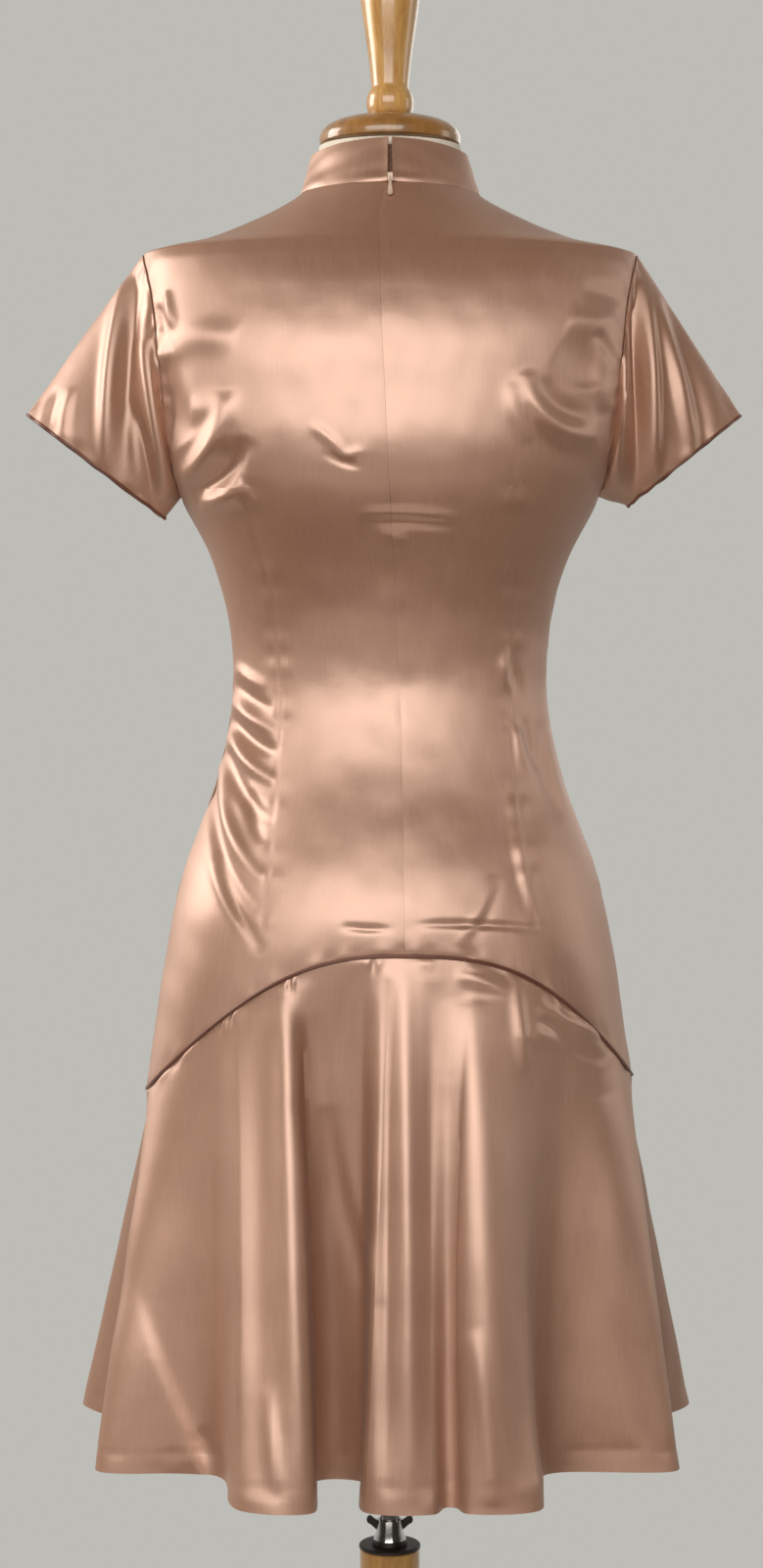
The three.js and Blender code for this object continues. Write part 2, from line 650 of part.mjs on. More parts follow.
function tube(outerR, innerR, bottom, top, steps = 24) {
  return turned([[innerR, bottom], [outerR, bottom], [outerR, top], [innerR, top], [innerR, bottom]], steps);
}

function addPole() {
  const bottom = 130;
  const top = FORM_BOTTOM_Z - FIT_GAP;
  addPiece("pole", turned([[0, bottom], [POLE_R, bottom], [POLE_R, top], [0, top]], 24), chrome);
}

function addHub() {
  const floor = 70; // of the bore that the pole slides in
  const hub = turned(
    [
      [0, HUB_BOTTOM_Z], [HUB_R - 6, HUB_BOTTOM_Z], [HUB_R, HUB_BOTTOM_Z + 8], [HUB_R, HUB_TOP_Z],
      [BORE_R, HUB_TOP_Z], [BORE_R, floor], [0, floor],
    ],
    24,
  );
  addPiece("hub", hub, beech);
  const capBottom = HUB_TOP_Z + FIT_GAP;
  addPiece("hub_cap", tube(HUB_R + 0.7, BORE_R, capBottom, capBottom + HUB_CAP_HEIGHT), blackMetal);
}

// The clamp that grips the pole: a flared ferrule with a wing on each side.
function addClamp() {
  const bottom = HUB_TOP_Z + HUB_CAP_HEIGHT + 2 * FIT_GAP;
  const ferrule = turned(
    [[BORE_R, 0], [14.5, 0], [13.5, 4], [11, 10], [10.6, 20], [BORE_R, 20], [BORE_R, 0]],
    24,
  );
  const wing = new THREE.Shape();
  wing.moveTo(9.5, 10);
  wing.lineTo(16, 16);
  wing.absarc(15.5, 19.5, 3.5, -Math.PI / 3, Math.PI / 2, false);
  wing.lineTo(9.5, 19);
  wing.closePath();
  const blade = new THREE.ExtrudeGeometry(wing, { depth: 3, bevelEnabled: false, curveSegments: 5 })
    .translate(0, 0, -1.5)
    .rotateX(Math.PI / 2);
  const otherBlade = blade.clone().rotateZ(Math.PI);
  const bore = tube(BORE_R, 0.01, -5, 40);
  const clamp = cut(joined(ferrule, blade, otherBlade), bore);
  addPiece("pole_clamp", clamp.translate(0, 0, bottom), blackMetal);
}

// A flat curved leg, from the hub to its foot on the floor.
function addLeg(name, angle) {
  const wide = 20;
  const outline = new THREE.Shape();
  outline.moveTo(15, 112);
  outline.lineTo(15, 196);
  outline.quadraticCurveTo(95, 200, 150, 140);
  outline.quadraticCurveTo(196, 84, FOOT_REACH, 15);
  outline.lineTo(FOOT_REACH, 0);
  outline.lineTo(FOOT_REACH - 34, 0);
  outline.quadraticCurveTo(165, 60, 122, 100);
  outline.quadraticCurveTo(80, 132, 15, 112);
  const leg = new THREE.ExtrudeGeometry(outline, { depth: wide, bevelEnabled: false, curveSegments: 8 })
    .translate(0, 0, -wide / 2)
    .rotateX(Math.PI / 2);
  const room = tube(HUB_R + FIT_GAP, 0.01, 60, 300);
  const fitted = cut(leg, room);
  addPiece(name, fitted.rotateZ(radians(angle)), beech);
}

addHub();
addClamp();
addLeg("leg_front", -90);
addLeg("leg_back_left", 30);
addLeg("leg_back_right", 150);
addPole();
addTorso();
addNeckCap();
addBodice();
addSkirt();
addSeamPiping();
SLEEVES.forEach(addSleeve);
addCollar("collar_left", 1);
addCollar("collar_right", -1);
addZipTape();
addZipSlider();
addZipPull();

export default group;
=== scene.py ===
"""A satin cheongsam dress on a limbless dress form: its cloth, its piping, its zip and the form's finish.

Lengths in the tables are millimetres and turn to metres when a mesh is made. Angles round the body
run in degrees from the centre back (0) by the wearer's left side (90) to the centre front (180).
"""

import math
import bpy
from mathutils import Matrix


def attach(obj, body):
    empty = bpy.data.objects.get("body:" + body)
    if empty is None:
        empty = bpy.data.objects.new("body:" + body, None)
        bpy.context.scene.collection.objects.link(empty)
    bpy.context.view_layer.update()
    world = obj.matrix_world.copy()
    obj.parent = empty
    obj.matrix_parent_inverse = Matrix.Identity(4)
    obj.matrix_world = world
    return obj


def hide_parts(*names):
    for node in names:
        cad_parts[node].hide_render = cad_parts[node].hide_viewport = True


bl_info = {
    "name": "Cheongsam on a dress form",
    "version": (1, 0, 0),
    "blender": (4, 5, 0),
    "location": "3D View > Sidebar > Cheongsam",
    "description": "Makes the cloth of a satin cheongsam and finishes the dress form that it stands on",
    "category": "Add Mesh",
}

from typing import NamedTuple

import bmesh
import bpy
import numpy as np
from mathutils import Matrix, Vector

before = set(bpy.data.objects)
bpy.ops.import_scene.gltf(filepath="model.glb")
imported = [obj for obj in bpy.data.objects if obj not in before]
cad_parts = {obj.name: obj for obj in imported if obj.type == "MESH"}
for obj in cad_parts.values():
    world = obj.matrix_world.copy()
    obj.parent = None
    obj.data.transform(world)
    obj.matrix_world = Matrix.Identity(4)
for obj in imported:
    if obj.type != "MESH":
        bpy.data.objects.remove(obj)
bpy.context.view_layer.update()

MM = 0.001


def linear(code):
    """An sRGB hex colour as three linear values."""
    parts = [int(code[i : i + 2], 16) / 255 for i in (1, 3, 5)]
    return tuple(p / 12.92 if p <= 0.04045 else ((p + 0.055) / 1.055) ** 2.4 for p in parts)


# ---- Sizes and colours that a user would change ----


class DressSizes(bpy.types.PropertyGroup):
    cloth: bpy.props.FloatProperty(
        name="Cloth", description="Thickness of the satin, mm", default=1.1, min=0.2, max=3
    )
    mesh_step: bpy.props.FloatProperty(
        name="Mesh step", description="Size of the cloth's faces, mm", default=3.4, min=1.5, max=12
    )
    crease_depth: bpy.props.FloatProperty(
        name="Crease depth", description="Share of the creases' full depth", default=1, min=0, max=2
    )
    piping: bpy.props.FloatProperty(
        name="Piping", description="Radius of the piping cord, mm", default=1.35, min=0.5, max=3
    )
    hem_turning: bpy.props.FloatProperty(
        name="Hem turning", description="Depth of the skirt's turned hem, mm", default=19, min=5, max=50
    )


class DressColours(bpy.types.PropertyGroup):
    satin: bpy.props.FloatVectorProperty(
        name="Satin", description="Colour of the satin", subtype="COLOR", default=linear("#b88b71")
    )
    satin_deep: bpy.props.FloatVectorProperty(
        name="Satin, deep", description="Darker threads of the satin", subtype="COLOR",
        default=linear("#ac7e64"),
    )
    piping: bpy.props.FloatVectorProperty(
        name="Piping", description="Colour of the piping", subtype="COLOR", default=linear("#7a4a38")
    )
    jersey: bpy.props.FloatVectorProperty(
        name="Jersey", description="Colour of the form's cover", subtype="COLOR",
        default=linear("#ece2d2"),
    )
    wood: bpy.props.FloatVectorProperty(
        name="Wood", description="Light colour of the beech", subtype="COLOR", default=linear("#d3a560")
    )
    wood_grain: bpy.props.FloatVectorProperty(
        name="Wood grain", description="Dark colour of the beech", subtype="COLOR",
        default=linear("#a8763b"),
    )
    floor: bpy.props.FloatVectorProperty(
        name="Floor", description="Colour of the floor", subtype="COLOR", default=linear("#cfcdc8")
    )


# ---- The dress's surface, the same as the solid model's ----


class Section(NamedTuple):
    z: float
    width: float  # half width
    back: float  # depth behind the axis
    front: float  # depth before the axis
    power: float  # of the oval: 2 is an ellipse, more is squarer


SECTIONS = [
    Section(650, 198, 116, 106, 2.3),
    Section(700, 198, 126, 110, 2.3),
    Section(735, 193, 134, 112, 2.3),
    Section(785, 186, 140, 112, 2.3),
    Section(820, 180, 139, 110, 2.3),
    Section(860, 172, 132, 108, 2.3),
    Section(890, 163, 122, 106, 2.3),
    Section(916, 152, 112, 104, 2.2),
    Section(944, 142, 101, 101, 2.2),
    Section(984, 132, 89, 98, 2.2),
    Section(1024, 127, 82, 97, 2.2),
    Section(1064, 129, 83, 101, 2.2),
    Section(1104, 137, 91, 110, 2.3),
    Section(1144, 151, 101, 119, 2.4),
    Section(1179, 171, 108, 122, 2.4),
    Section(1230, 188, 114, 116, 2.5),
    Section(1280, 196, 114, 104, 2.5),
    Section(1330, 200, 105, 89, 2.4),
    Section(1360, 201, 95, 76, 2.3),
    Section(1372, 200, 89, 70, 2.2),
    Section(1381, 160, 84, 65, 2.1),
    Section(1395, 121, 76, 60, 2),
    Section(1415, 81, 65, 57, 2),
    Section(1421, 73, 62, 56, 2),
]

BUST_X, BUST_Z, BUST_RISE, BUST_REACH = 86, 1196, 20, 52
BLADE_Z, BLADE_FULLNESS = 1188, 5
HEM_Z = 411
SEAM_PEAK_Z, SEAM_DROP, SEAM_DROP_RIGHT = 815, 119, 108
SEAM_FALL, SEAM_FALL_RIGHT = 2, 2.8
NECK_Z, FRONT_NECK_DROP, YOKE_Z = 1421, 45, 1330
ARMHOLE_Z, ARMHOLE_HALF_HEIGHT, ARMHOLE_HALF_DEPTH = 1276, 97, 52
ARMHOLE_MEAN_RADIUS = 62
NECK_HALF_WIDTH = 73
SEAM_GAP = 0.15  # from the middle of the hip seam to each side's cloth
CENTRE_BACK_GAP = 0.01  # degrees from the middle of the centre back seam to each side's cloth
BACK_PANEL_WIDTH, FRONT_PANEL_WIDTH = 290, 560


class Waypoint(NamedTuple):
    z: float
    x: float


# The centre back seam of the bodice leans a little as the dress hangs.
BODICE_SEAM = [
    Waypoint(812, -11), Waypoint(984, -9), Waypoint(1130, -2), Waypoint(1200, 2),
    Waypoint(1310, 7), Waypoint(1395, 9), Waypoint(1421, 3),
]


def along(table, z):
    """The x of a line given by waypoints, at heights z."""
    return np.interp(z, [p.z for p in table], [p.x for p in table])


def section(column, z):
    """A column of the table of sections at heights z, evened out below the shoulders."""
    z = np.asarray(z, float)
    spread = 20 * np.clip((1352 - z) / 40, 0, 1)
    weights = {-1: 0.15, -0.5: 0.2, 0: 0.3, 0.5: 0.2, 1: 0.15}
    return sum(weight * section_curve(column, z + k * spread) for k, weight in weights.items())


def section_curve(column, z):
    """A column of the table of sections at heights z, on a curve through its rows."""
    heights = np.array([row.z for row in SECTIONS], float)
    values = np.array([getattr(row, column) for row in SECTIONS], float)
    slopes = np.diff(values) / np.diff(heights)
    before, after = slopes[:-1], slopes[1:]
    turning = before * after <= 0
    total = np.where(turning, 1, before + after)
    tangents = np.concatenate([[slopes[0]], np.where(turning, 0, 2 * before * after / total), [slopes[-1]]])
    i = np.clip(np.searchsorted(heights, z, side="right") - 1, 0, len(heights) - 2)
    span = heights[i + 1] - heights[i]
    s = np.clip((z - heights[i]) / span, 0, 1)
    stay = s * s * (3 - 2 * s)
    lift = s * (1 - s) ** 2 * tangents[i] - s * s * (1 - s) * tangents[i + 1]
    return values[i] * (1 - stay) + values[i + 1] * stay + span * lift


def signed_power(value, power):
    """A value's size raised to a power, with the value's own sign."""
    return np.sign(value) * np.abs(value) ** power


def body_point(angle, z):
    """Points of the dress's outer surface, as an array whose last axis is x, y, z."""
    angle, z = np.broadcast_arrays(np.asarray(angle, float), np.asarray(z, float))
    t = np.radians(angle)
    power = 2 / section("power", z)
    x = section("width", z) * signed_power(np.sin(t), power)
    cosine = np.cos(t)
    depth = np.where(cosine > 0, section("back", z), section("front", z))
    y = depth * signed_power(cosine, power)
    off = (np.abs(x) - BUST_X) ** 2 + (z - BUST_Z) ** 2
    y = y - BUST_RISE * np.clip(-2 * cosine, 0, 1) * np.exp(-off / (2 * BUST_REACH**2))
    return np.stack([x, y, z], axis=-1)


def seam_z(angle):
    """The height of the curved hip seam, which sits a little higher on the wearer's right."""
    across = np.sin(np.radians(angle))
    left = SEAM_DROP * np.abs(across) ** SEAM_FALL
    right = SEAM_DROP_RIGHT * np.abs(across) ** SEAM_FALL_RIGHT
    return SEAM_PEAK_Z - np.where(across > 0, left, right)


def neck_z(angle):
    """The height of the neckline, which falls towards the centre front."""
    forward = np.clip(-np.cos(np.radians(angle)), 0, 1)
    return NECK_Z - FRONT_NECK_DROP * forward**2


def row_z(level, angle):
    """The height of a row of the bodice at an angle: rows near the neck follow the neckline."""
    bent = YOKE_Z + (level - YOKE_Z) * (neck_z(angle) - YOKE_Z) / (NECK_Z - YOKE_Z)
    return np.where(level > YOKE_Z, bent, level)


def armhole_depth(z):
    """Half the depth of the armhole at heights z, and 0 above and below it."""
    share = np.clip((z - ARMHOLE_Z) / ARMHOLE_HALF_HEIGHT, -1, 1)
    return ARMHOLE_HALF_DEPTH * np.sqrt(1 - share**2)


# ---- Creases ----


class Crease(NamedTuple):
    x1: float
    z1: float
    x2: float
    z2: float
    bend: float  # how far the middle bows sideways, towards the left of the way from 1 to 2
    width: float
    height: float  # above 0 is a ridge, below 0 a trough


def crease_height(creases, across, up):
    """Height of the creases over a sheet whose points lie at (across, up) in the creases' own plane."""
    height = np.zeros_like(across)
    steps = np.linspace(0, 1, 13)
    for c in creases:
        middle = np.array([(c.x1 + c.x2) / 2, (c.z1 + c.z2) / 2])
        run = np.array([c.x2 - c.x1, c.z2 - c.z1])
        side = np.array([-run[1], run[0]]) / np.hypot(*run)
        via = middle + side * 2 * c.bend
        path = [
            (1 - t) ** 2 * np.array([c.x1, c.z1]) + 2 * t * (1 - t) * via + t * t * np.array([c.x2, c.z2])
            for t in steps
        ]
        nearest = np.full_like(across, 1e9)
        place = np.zeros_like(across)
        for k in range(len(path) - 1):
            a, b = path[k], path[k + 1]
            d = b - a
            share = np.clip(((across - a[0]) * d[0] + (up - a[1]) * d[1]) / (d @ d), 0, 1)
            gap = np.hypot(across - a[0] - share * d[0], up - a[1] - share * d[1])
            closer = gap < nearest
            nearest = np.where(closer, gap, nearest)
            place = np.where(closer, (k + share) / (len(path) - 1), place)
        taper = np.clip(np.sin(np.pi * np.clip(place, 0, 1)), 0, 1) ** 0.7
        height += c.height * taper * np.exp(-((nearest / c.width) ** 2))
    return height


class Lap(NamedTuple):
    x1: float
    z1: float
    x2: float
    z2: float
    edge: float  # width of the step
    reach: float  # how far the raised side takes to come down again
    height: float


def lap_height(laps, across, up):
    """Height of folds that lap over: a step up on the left of the way from 1 to 2, then a long fall."""
    height = np.zeros_like(across)
    for lap in laps:
        run = np.array([lap.x2 - lap.x1, lap.z2 - lap.z1])
        length = np.hypot(*run)
        dx, dz = across - lap.x1, up - lap.z1
        along_way = (dx * run[0] + dz * run[1]) / length**2
        aside = (dz * run[0] - dx * run[1]) / length
        start = np.clip(along_way / 0.8, 0, 1)
        taper = start * start * (3 - 2 * start) * np.clip((1.25 - along_way) / 0.25, 0, 1)
        step = 0.5 + 0.5 * np.tanh(aside / lap.edge)
        height += lap.height * taper * step * np.exp(-np.clip(aside, 0, None) / lap.reach)
    return height


def mirrored(creases, depth=1.0, down=0.0):
    """The same creases on the other side of the body, a little moved, for the sides that don't show."""
    return [
        c._replace(x1=-c.x1, x2=-c.x2, z1=c.z1 - down, z2=c.z2 - down, bend=-c.bend, height=c.height * depth)
        for c in creases
    ]


def undulation(a, b, wavelength, seed):
    """A soft irregular wave over two coordinates, between about -1 and 1."""
    total = np.zeros_like(a)
    for k in range(5):
        turn = seed * 1.7 + k * 2.399
        rate = 2 * np.pi / (wavelength * (0.7 + 0.17 * k))
        total += np.sin(rate * (a * math.cos(turn) + b * math.sin(turn)) + seed * 3.1 + k)
    return total / 3.2


def seam_height(distance, place, depth=0.4, pucker=0.45):
    """The dip of a sewn seam and the small puckers beside it, at a distance from it."""
    dip = -depth * np.exp(-((distance / 1.8) ** 2))
    wave = np.sin(place / 4.3) + 0.7 * np.sin(place / 2.9 + 1.3) + 0.5 * np.sin(place / 7.7 + 0.6)
    return dip + pucker * wave * np.exp(-((distance / 9) ** 2)) * (1 - np.exp(-((distance / 2.5) ** 2)))


BACK_CREASES = [
    # shoulder blade, wearer's left
    Crease(189, 1308, 178, 1276, 4, 5, 5.0),
    Crease(176, 1336, 170, 1304, 1, 3.5, 4.0),
    Crease(184, 1326, 176, 1300, 2, 4, -3.0),
    Crease(172, 1292, 120, 1290, -6, 12, 3.0),
    Crease(176, 1284, 160, 1216, 6, 12, -5.5),
    Crease(166, 1186, 128, 1252, 12, 9, 7.0),
    Crease(156, 1176, 112, 1216, 9, 8, -6.0),
    Crease(150, 1170, 112, 1182, 4, 8, 5.5),
    Crease(158, 1240, 130, 1250, 4, 9, 1.6),
    # shoulder blade, wearer's right: a soft hollow above a broad bright crescent
    Crease(-134, 1290, -158, 1256, -5, 16, -6.0),
    Crease(-106, 1268, -164, 1222, 20, 10, 7.0),
    Crease(-118, 1262, -156, 1236, 12, 8, -3.5),
    Crease(-94, 1258, -106, 1212, 4, 6, 2.5),
    Crease(-138, 1310, -180, 1314, 4, 9, 2.6),
    Crease(-150, 1332, -188, 1328, -3, 8, -2.0),
    Crease(-178, 1300, -170, 1240, 6, 9, 3.2),
    Crease(-160, 1300, -176, 1276, -3, 5, -3.0),
    # between the shoulder blades
    Crease(62, 1224, 34, 1196, -3, 3.2, 1.5),
    Crease(50, 1204, 22, 1192, 2, 3.0, -1.3),
    Crease(36, 1200, 22, 1206, 1, 2.8, 1.1),
    Crease(24, 1156, -52, 1153, -2, 3.0, 1.9),
    Crease(18, 1150, -50, 1147, -2, 3.0, -1.7),
    Crease(6, 1142, -14, 1136, 1, 3.4, 1.4),
    # waist, wearer's left: drag lines that sweep from the side down to the dart
    Crease(125, 1040, 98, 1022, 2, 4, 2.2),
    Crease(126, 1028, 92, 1004, 3, 4.5, -3.0),
    Crease(127, 1014, 90, 988, 4, 5, 4.0),
    Crease(128, 1000, 89, 970, 5, 5, -5.5),
    Crease(129, 986, 89, 948, 6, 5, 4.5),
    Crease(131, 974, 92, 916, 8, 5.5, -5.0),
    Crease(134, 966, 100, 872, 12, 5.5, 4.5),
    Crease(140, 956, 104, 850, 14, 5.5, -5.0),
    Crease(112, 940, 98, 900, 3, 5, -3.0),
    Crease(142, 890, 104, 822, 5, 4, 3.0),
    Crease(136, 886, 98, 816, 4, 4, -4.0),
    # waist, wearer's right
    Crease(-92, 1054, -96, 1018, 3, 4, 2.2),
    Crease(-100, 1046, -104, 1014, 2, 4, -2.0),
    Crease(-98, 1000, -112, 950, 3, 5, 2.8),
    Crease(-107, 998, -120, 956, 3, 4, -2.4),
    Crease(-120, 996, -137, 916, 5, 6, -2.8),
    Crease(-128, 990, -144, 920, 5, 5, 2.0),
    Crease(-97, 950, -116, 838, 5, 5, 2.2),
    Crease(-90, 940, -106, 850, 5, 5, -1.6),
    # seat
    Crease(38, 838, 0, 836, 1, 2.6, -1.3),
    Crease(-20, 839, -118, 834, -2, 2.8, -1.7),
    Crease(-80, 876, -52, 822, -3, 4, 1.5),
    Crease(-86, 872, -60, 826, -3, 4, -1.1),
]

LEFT_DART = [
    Waypoint(839, 99), Waypoint(946, 90), Waypoint(1015, 86), Waypoint(1099, 94),
    Waypoint(1152, 108), Waypoint(1198, 114),
]
RIGHT_DART = [
    Waypoint(839, -112), Waypoint(908, -103), Waypoint(1022, -93), Waypoint(1099, -99),
    Waypoint(1190, -95),
]

FRONT_CREASES = [
    Crease(-150, 1176, -104, 1222, -8, 7, 3.0),
    Crease(152, 1170, 108, 1216, 8, 7, 3.0),
    Crease(148, 1160, 104, 1200, 8, 7, -2.6),
    Crease(-146, 1160, -102, 1200, -8, 7, -2.6),
    Crease(-126, 1008, -70, 986, -3, 5, 2.0),
    Crease(-128, 992, -76, 966, -3, 5, -2.2),
    Crease(-132, 968, -84, 938, -3, 6, 2.0),
    Crease(126, 1004, 72, 984, 3, 5, 2.0),
    Crease(129, 986, 78, 960, 3, 5, -2.2),
    Crease(133, 962, 86, 930, 3, 6, 2.0),
    Crease(60, 862, -70, 858, 4, 6, 1.5),
    Crease(52, 852, -62, 848, 4, 5, -1.4),
    Crease(24, 1108, -40, 1102, 3, 6, 1.2),
]


# ---- Small tools for meshes ----


def grid_normals(points, wrap=False):
    """Unit normals of a grid of points, pointing to the side that its rows and columns turn to."""
    if wrap:
        closed = np.concatenate([points[:, -2:-1], points, points[:, 1:2]], axis=1)
        across = np.gradient(closed, axis=1)[:, 1:-1]
    else:
        across = np.gradient(points, axis=1)
    normals = np.cross(np.gradient(points, axis=0), across)
    return normals / np.maximum(np.linalg.norm(normals, axis=-1, keepdims=True), 1e-9)


def run_lengths(line):
    """The distance along a line of points, from its start."""
    steps = np.linalg.norm(np.diff(line, axis=0), axis=-1)
    return np.concatenate([[0], np.cumsum(steps)])


def grid_mesh(name, points, normals, closed_round=False, closed_along=False):
    """An object made of one grid of points in mm, with its faces turned to the normals' side."""
    rows, columns = points.shape[:2]
    across = run_lengths(points[rows // 2]) * MM
    upward = run_lengths(points[:, columns // 2]) * MM
    bm = bmesh.new()
    flat = bm.loops.layers.uv.new("flat")
    bmesh.ops.create_grid(bm, x_segments=columns - 1, y_segments=rows - 1, size=0.5)
    for vert in bm.verts:
        row = round((vert.co.y + 0.5) * (rows - 1))
        vert.index = row * columns + round((vert.co.x + 0.5) * (columns - 1))
    spot = {vert: divmod(vert.index, columns) for vert in bm.verts}
    for face in bm.faces:
        face.smooth = True
        for loop in face.loops:
            r, c = spot[loop.vert]
            loop[flat].uv = (across[c], upward[r])
    for vert, (r, c) in spot.items():
        vert.co = points[r, c] * MM
    bm.normal_update()
    middle = bm.faces[:][len(bm.faces) // 2]
    r, c = spot[middle.verts[0]]
    if middle.normal.dot(Vector(normals[r, c])) < 0:
        bmesh.ops.reverse_faces(bm, faces=bm.faces[:])
    if closed_round or closed_along:
        bmesh.ops.remove_doubles(bm, verts=bm.verts[:], dist=1e-5)
    return new_object(name, bm)


def new_object(name, bm):
    """An object in the scene made from a bmesh, which is then freed."""
    mesh = bpy.data.meshes.new(name)
    bm.to_mesh(mesh)
    bm.free()
    made = bpy.data.objects.new(name, mesh)
    bpy.context.scene.collection.objects.link(made)
    return made


def give_thickness(piece, thickness):
    """Thickens a sheet inwards from its outer side, with crisp cut edges."""
    wall = piece.modifiers.new("cloth", "SOLIDIFY")
    wall.thickness = thickness * MM
    wall.offset = -1
    apply_modifiers(piece)
    smooth_with_edges(piece, 50)
    return piece


def tube_points(path, radius, sides=12, closed=False):
    """A grid of points round a path, and its normals: one row for each point of the path."""
    path = np.asarray(path, float)
    if closed:
        ahead, behind = np.roll(path, -1, axis=0), np.roll(path, 1, axis=0)
        tangents = ahead - behind
    else:
        tangents = np.gradient(path, axis=0)
    tangents /= np.linalg.norm(tangents, axis=1, keepdims=True)
    centre = path.mean(axis=0)
    first = np.cross(tangents, path - centre)
    first /= np.linalg.norm(first, axis=1, keepdims=True)
    second = np.cross(tangents, first)
    turns = np.linspace(0, 2 * np.pi, sides + 1)
    normals = first[:, None] * np.cos(turns)[None, :, None] + second[:, None] * np.sin(turns)[None, :, None]
    points = path[:, None] + normals * radius
    if closed:
        points = np.concatenate([points, points[:1]])
        normals = np.concatenate([normals, normals[:1]])
    return points, normals


def turned_mesh(name, profile, centre=(0, 0), squeeze=1.0, steps=96):
    """A piece turned round a vertical line, from a profile of (radius, height) in mm."""
    bm = bmesh.new()
    verts = [bm.verts.new((r * MM, 0, z * MM)) for r, z in profile]
    edges = [bm.edges.new(pair) for pair in zip(verts, verts[1:])]
    bmesh.ops.spin(
        bm, geom=verts + edges, cent=(0, 0, 0), axis=(0, 0, 1), dvec=(0, 0, 0),
        angle=2 * math.pi, steps=steps, use_merge=True,
    )
    bmesh.ops.remove_doubles(bm, verts=bm.verts[:], dist=1e-6)
    bmesh.ops.recalc_face_normals(bm, faces=bm.faces[:])
    bmesh.ops.transform(bm, matrix=Matrix.Diagonal((1, squeeze, 1, 1)), verts=bm.verts[:])
    bmesh.ops.translate(bm, vec=(centre[0] * MM, centre[1] * MM, 0), verts=bm.verts[:])
    piece = new_object(name, bm)
    smooth_with_edges(piece, 38)
    return piece


def smooth_with_edges(piece, degrees):
    """Smooth shading, with edges sharper than this angle left crisp."""
    piece.data.shade_smooth()
    piece.data.set_sharp_from_angle(angle=math.radians(degrees))


def finish_piece(piece, body, material, slot, *nodes):
    """Gives a new piece its material, puts it on the body it rides on, and hides the solid parts it stands for."""
    piece.data.materials.clear()
    piece.data.materials.append(material)
    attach(piece, body)
    if nodes:
        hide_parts(*nodes)
    return piece


def apply_modifiers(piece):
    """Makes a piece's modifiers part of its mesh."""
    graph = bpy.context.evaluated_depsgraph_get()
    final = bpy.data.meshes.new_from_object(
        piece.evaluated_get(graph), preserve_all_data_layers=True, depsgraph=graph
    )
    piece.modifiers.clear()
    piece.data = final


# ---- Materials ----


def add_node(tree, kind, values=None, links=None, **settings):
    """Adds a node with its settings, the values of its inputs and the links into them."""
    made = tree.nodes.new(kind)
    for key, value in settings.items():
        setattr(made, key, value)
    for socket, value in (values or {}).items():
        made.inputs[socket].default_value = value
    for socket, source in (links or {}).items():
        tree.links.new(source, made.inputs[socket])
    return made


def new_material(name):
    """A material, its node tree and its empty surface shader."""
    material = bpy.data.materials.new(name)
    material.use_nodes = True
    tree = material.node_tree
    tree.nodes.clear()
    shader = add_node(tree, "ShaderNodeBsdfPrincipled")
    add_node(tree, "ShaderNodeOutputMaterial", links={"Surface": shader.outputs["BSDF"]})
    return material, tree, shader


def plain(colour):
    """A colour with full opacity."""
    return (*colour, 1)


def colour_ramp(tree, factor, stops):
    """A colour ramp with (position, colour) stops, driven by a factor."""
    ramp = add_node(tree, "ShaderNodeValToRGB", links={"Fac": factor})
    elements = ramp.color_ramp.elements
    while len(elements) < len(stops):
        elements.new(0.5)
    for element, (position, colour) in zip(elements, stops):
        element.position = position
        element.color = plain(colour)
    return ramp.outputs["Color"]


